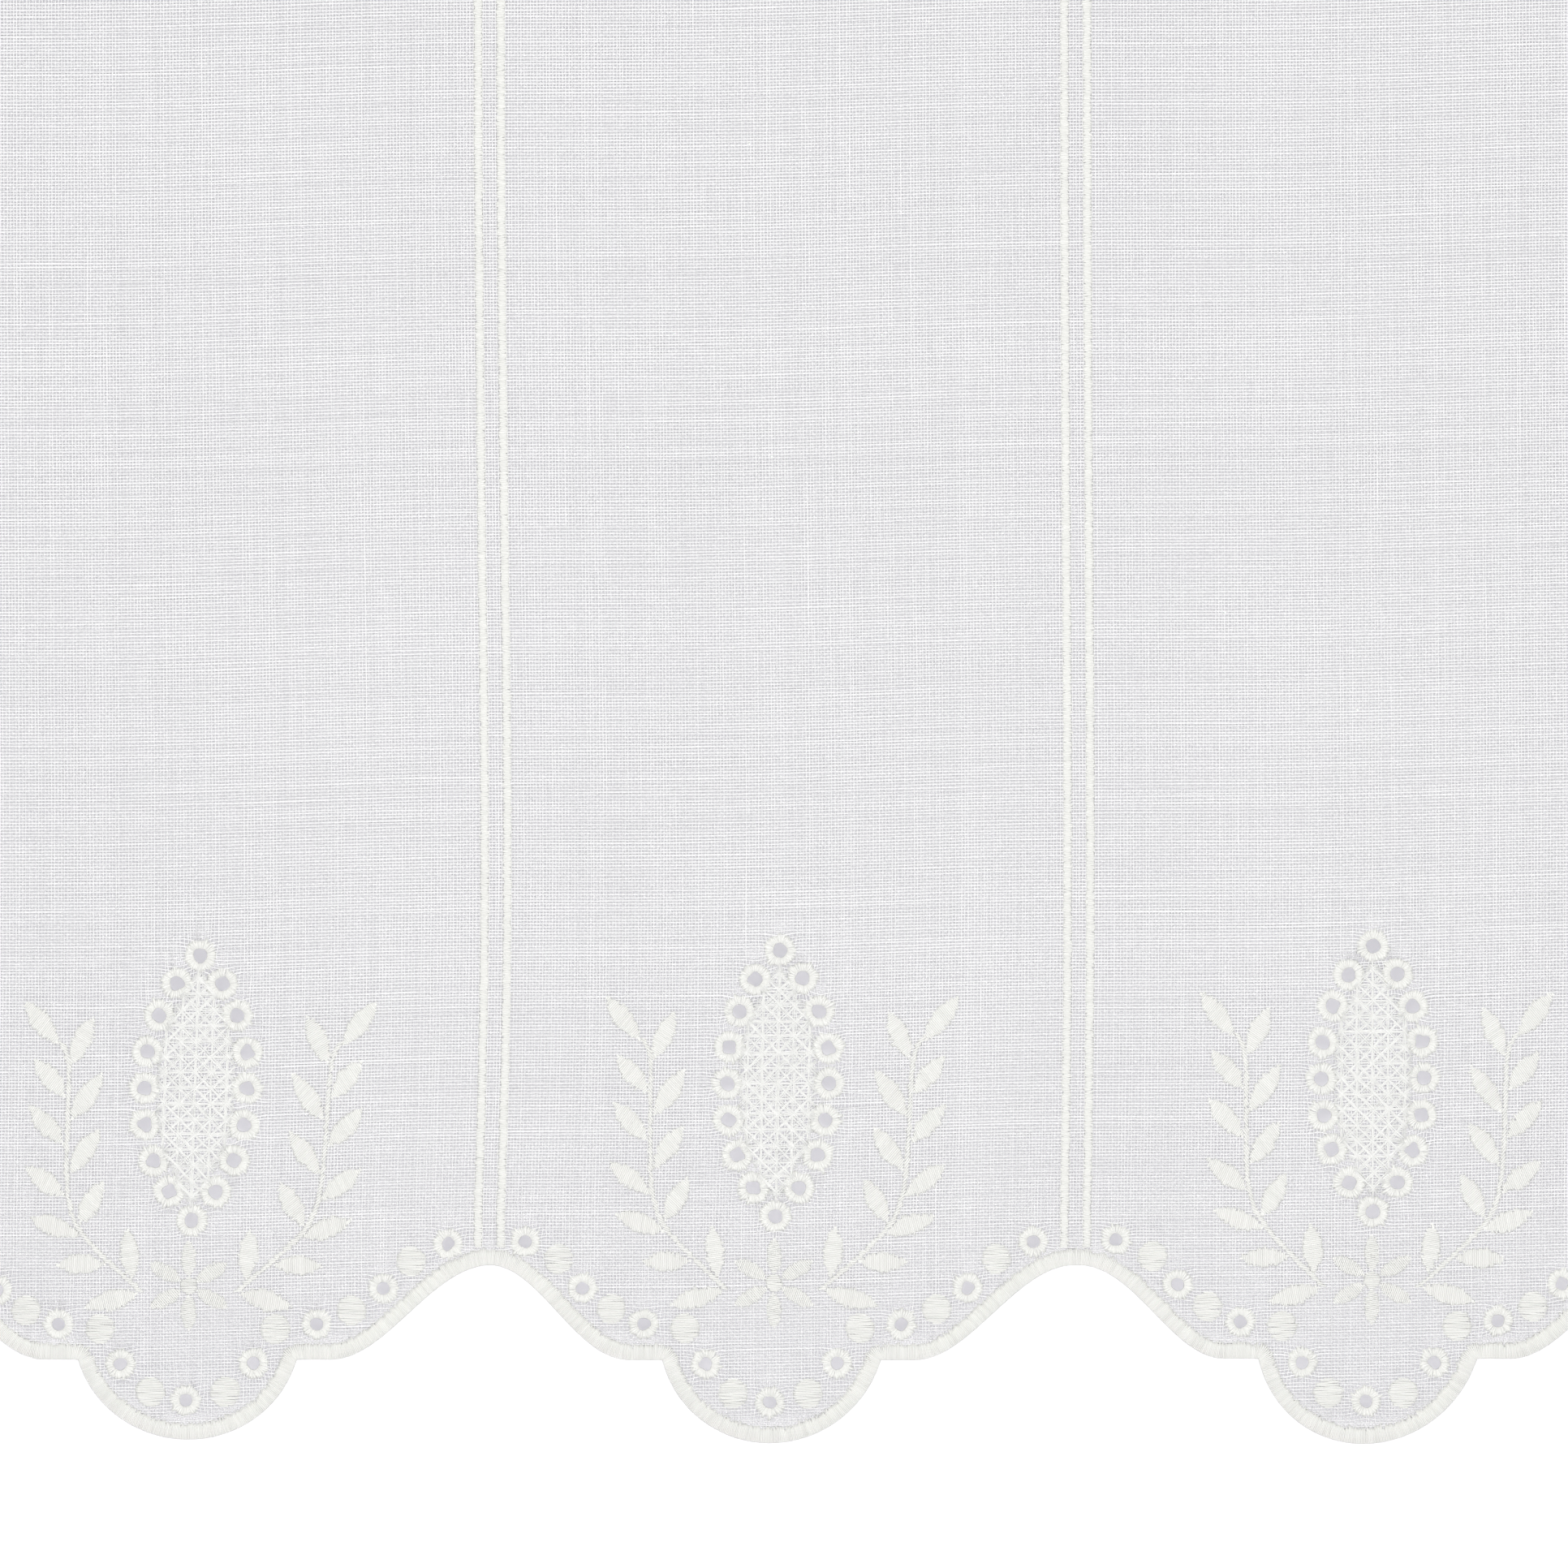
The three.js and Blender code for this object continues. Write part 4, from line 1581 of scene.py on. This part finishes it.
@dataclass
class NetFilling(Stitchwork):
    """The net of fine threads inside each medallion: level, upright and both slanting ways."""

    cell: float = 4.25 * MM
    net_half_width: float = 0.11 * MM
    net_lift: float = 0.2 * MM
    layer: float = 0.015 * MM
    margin: float = 3.4 * MM
    wander: float = 0.1 * MM
    spread: float = 0.28 * MM
    threads_each: int = 5
    turns: tuple[int, ...] = (90, 0, 45, 135)
    rise_share: float = 0.35
    slant_test: float = 0.1
    fewest_points: int = 3

    def build(self) -> Strands:
        """Lays the net of every medallion.

        Returns:
            The nets, as threads.
        """
        oval = self.layout.oval()
        outward = unit(oval * np.array([1.0, self.rise_share]))
        border = oval - outward * self.margin
        for repeat in self.layout.repeats:
            for i, turn in enumerate(self.turns):
                lift = self.net_lift + self.threads_each * i * self.layer
                self.run(repeat, border, math.radians(turn), lift)
        return self.strands

    def run(self, repeat: Repeat, border: np.ndarray, turn: float, lift: float) -> None:
        """Lays the threads that run one way.

        Args:
            repeat: The repeat that the medallion belongs to.
            border: The outline that the threads stop at, round the medallion's middle.
            turn: The way that the threads run, as an angle from level.
            lift: How far the threads stand in front of the cloth.
        """
        way = np.array([math.cos(turn), math.sin(turn)])
        square = np.array([-way[1], way[0]])
        level = abs(way[0] * way[1]) < self.slant_test
        gap = self.cell if level else self.cell / math.sqrt(2)
        side = border @ square
        for offset in np.arange(math.ceil(side.min() / gap), math.floor(side.max() / gap) + 1) * gap:
            ends = self.crossings(border, side - offset) @ way
            if len(ends) < 2 or np.ptp(ends) < self.cell / 2:
                continue
            count = max(self.fewest_points, int(np.ptp(ends) / (self.cell / 2)) + 1)
            along = np.linspace(ends.min(), ends.max(), count)
            for i in range(self.threads_each):
                place = offset + self.random.normal(0.0, self.spread)
                beside = place + self.random.normal(0.0, self.wander, count)
                drawn = along[:, None] * way + beside[:, None] * square
                up = self.layout.medallion_height + drawn[:, 1]
                self.net_thread(self.layout.hung(repeat, drawn[:, 0], up), way, lift + i * self.layer)

    def crossings(self, border: np.ndarray, side: np.ndarray) -> np.ndarray:
        """Finds where a closed outline crosses a line.

        Args:
            border: The outline's points.
            side: Each point's distance to the line.

        Returns:
            The points where it crosses.
        """
        turns = np.flatnonzero((side[1:] > 0) != (side[:-1] > 0))
        share = (side[turns] / (side[turns] - side[turns + 1]))[:, None]
        return border[turns] + share * (border[turns + 1] - border[turns])

    def net_thread(self, flat: np.ndarray, way: np.ndarray, lift: float) -> None:
        """Adds one thread of the net, lying on the cloth.

        Args:
            flat: Its points in the panel's plane.
            way: The way that it runs.
            lift: How far it stands in front of the cloth.
        """
        count = len(flat)
        points = np.stack([flat[:, 0], np.full(count, -lift), flat[:, 1]], axis=1)
        side = np.cross(np.array([way[0], 0.0, way[1]]), FORWARD)
        shape = (1, count)
        self.strands.add(
            points[None],
            side[None],
            np.full(shape, self.net_half_width),
            self.front,
            np.full(shape, lift),
            self.random.random(1),
        )


@dataclass
class HemSewing(Stitchwork):
    """The running stitches that hold down the fold of the top hem."""

    length: float = 2.2 * MM
    gap: float = 1.0 * MM
    inset: float = 2.5 * MM

    def build(self) -> Strands:
        """Sews the top hem from side to side.

        Returns:
            The hem's stitches, as threads.
        """
        reach = self.layout.width / 2 - self.inset
        starts_x = np.arange(-reach, reach - self.length, self.length + self.gap)
        z = np.full_like(starts_x, -self.layout.top_hem + self.inset)
        starts = np.stack([starts_x, z], axis=1)
        self.lay(starts, starts + np.array([self.length, 0.0]))
        return self.strands


@dataclass
class Studio:
    """A plain pale cove, soft light and the camera at the photo's angle."""

    lens: float = 85.0
    sensor: float = 36.0
    picture_width: float = 428.1 * MM
    middle: tuple[float, float] = (0.4 * MM, -269.6 * MM)
    wall: float = 2.0
    floor: float = -1.5
    cove_radius: float = 0.5
    cove_steps: int = 12
    half_span: float = 4.0
    reach: float = 4.0
    ambient: float = 0.465
    ambient_colour: tuple[float, float, float] = (0.975, 0.97, 1.045)
    lamp_colour: tuple[float, float, float] = (1.0, 0.995, 0.96)
    lamp_drop: float = 9 * MM
    lamp_radius: float = 4 * MM
    lamp_power: float = 20.2
    softbox_size: float = 0.6
    softbox_place: tuple[float, float, float] = (1.1, -1.0, 0.35)
    softbox_power: float = 6.0
    clip: tuple[float, float] = (0.05, 50.0)
    back_power: float = 0.5
    back_distance: float = 1.2
    back_spread: float = math.radians(30)

    @property
    def distance(self) -> float:
        """How far the camera stands from the cloth."""
        return self.picture_width * self.lens / self.sensor

    def cove(self) -> bpy.types.Object:
        """A floor that curves up into a wall behind the curtain.

        Returns:
            The cove.
        """
        turn = np.linspace(0.0, math.pi / 2, self.cove_steps + 1)
        curve_y = self.wall - self.cove_radius * (1 - np.sin(turn))
        curve_z = self.floor + self.cove_radius * (1 - np.cos(turn))
        rows = [(-self.reach, self.floor), *zip(curve_y, curve_z), (self.wall, self.reach)]
        points = [(x, y, z) for y, z in rows for x in (-self.half_span, self.half_span)]
        faces = [(2 * i, 2 * i + 1, 2 * i + 3, 2 * i + 2) for i in range(len(rows) - 1)]
        mesh = bpy.data.meshes.new("studio_cove")
        mesh.from_pydata(points, [], faces)
        mesh.shade_smooth()
        mesh.materials.append(WALL_PAPER.make())
        cove = bpy.data.objects.new("studio_cove", mesh)
        bpy.context.scene.collection.objects.link(cove)
        return cove

    def light(self) -> None:
        """Even light from all round, a small lamp below the camera and soft lights.

        Two soft lights stand in front, at the sides, and a weak one lights the back of the cloth.
        """
        scene = bpy.context.scene
        scene.view_settings.view_transform = "Standard"
        scene.view_settings.look = "None"
        world = bpy.data.worlds.new("studio_light")
        world.use_nodes = True
        background = world.node_tree.nodes["Background"]
        background.inputs["Color"].default_value = (*self.ambient_colour, 1.0)
        background.inputs["Strength"].default_value = self.ambient
        scene.world = world
        lamp = bpy.data.lights.new("camera_lamp", "POINT")
        lamp.energy = self.lamp_power
        lamp.color = self.lamp_colour
        lamp.shadow_soft_size = self.lamp_radius
        lamp.use_nodes = True
        tree = lamp.node_tree
        falloff = tree.nodes.new("ShaderNodeLightFalloff")
        falloff.inputs["Strength"].default_value = 1.0
        tree.links.new(falloff.outputs["Constant"], tree.nodes["Emission"].inputs["Strength"])
        held = bpy.data.objects.new("camera_lamp", lamp)
        held.location = (self.middle[0], -self.distance, self.middle[1] - self.lamp_drop)
        held.visible_camera = False
        scene.collection.objects.link(held)
        x, y, z = self.softbox_place
        target = Vector((self.middle[0], 0.0, self.middle[1]))
        for side in Side:
            self.softbox(Vector((side.value * x, y, z)), target, self.softbox_power)
        behind = target + Vector((0.0, self.back_distance, 0.0))
        self.softbox(behind, target, self.back_power, self.back_spread)

    def softbox(self, place: Vector, target: Vector, power: float, spread: float = math.pi) -> None:
        """Adds a soft light that the camera doesn't see.

        Args:
            place: Where the light stands.
            target: The point that it is turned to.
            power: Its power in watts.
            spread: The full angle of its beam.
        """
        light = bpy.data.lights.new("softbox", "AREA")
        light.energy = power
        light.color = self.lamp_colour
        light.size = self.softbox_size
        light.spread = spread
        held = bpy.data.objects.new("softbox", light)
        held.location = place
        held.rotation_euler = (target - place).to_track_quat("-Z", "Y").to_euler()
        held.visible_camera = False
        bpy.context.scene.collection.objects.link(held)

    def camera(self) -> None:
        """The camera, square on to the cloth."""
        lens = bpy.data.cameras.new("photo_camera")
        lens.lens = self.lens
        lens.sensor_width = self.sensor
        lens.clip_start, lens.clip_end = self.clip
        camera = bpy.data.objects.new("photo_camera", lens)
        camera.location = (self.middle[0], -self.distance, self.middle[1])
        camera.rotation_euler = (math.pi / 2, 0.0, 0.0)
        bpy.context.scene.collection.objects.link(camera)
        bpy.context.scene.camera = camera


def dress(strands: Strands, name: str, material: bpy.types.Material) -> bpy.types.Object:
    """Makes a piece of the curtain from its threads.

    Args:
        strands: The threads.
        name: The piece's name.
        material: Its finish.

    Returns:
        The piece, riding on the curtain's body in place of the plain panel.
    """
    piece = strands.build(name)
    piece.data.materials.append(material)
    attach(piece, "root")
    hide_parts(PANEL_NODE)
    LOG.info("%s: %d triangles", name, strands.triangles)
    return piece


def main() -> None:
    """Builds the curtain piece by piece, then the studio round it."""
    logging.basicConfig(level=logging.INFO, format="%(message)s")
    low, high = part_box(PANEL_NODE)
    layout = Layout(width=high.x - low.x, height=PANEL_HEIGHT)
    yarn, thread = CLOTH_YARN.make(), STITCH_THREAD.make()
    lit_rim_thread, net_thread = LIT_RIM_THREAD.make(), NET_THREAD.make()

    cloth = GroundCloth(layout)
    wefts = dress(cloth.build(Run.WEFT), "weft_yarns", yarn)
    pieces = [dress(cloth.build(Run.WARP), "warp_yarns", yarn)]
    stitchwork = (
        ("eyelet_rims", EyeletRims(layout, seed=21), lit_rim_thread),
        ("padded_dots", PaddedDots(layout, seed=22), thread),
        ("leaf_sprays", LeafSprays(layout, seed=23), thread),
        ("rosettes", Rosettes(layout, seed=24), thread),
        ("twin_lines", TwinLines(layout, seed=25), thread),
        ("scallop_edging", ScallopEdging(layout, seed=26), thread),
        ("net_filling", NetFilling(layout, seed=27), net_thread),
        ("hem_sewing", HemSewing(layout, seed=28), thread),
    )
    for name, work, material in stitchwork:
        pieces.append(dress(work.build(), name, material))

    studio = Studio()
    studio.cove()
    studio.light()
    studio.camera()


if __name__ == "__main__":
    main()
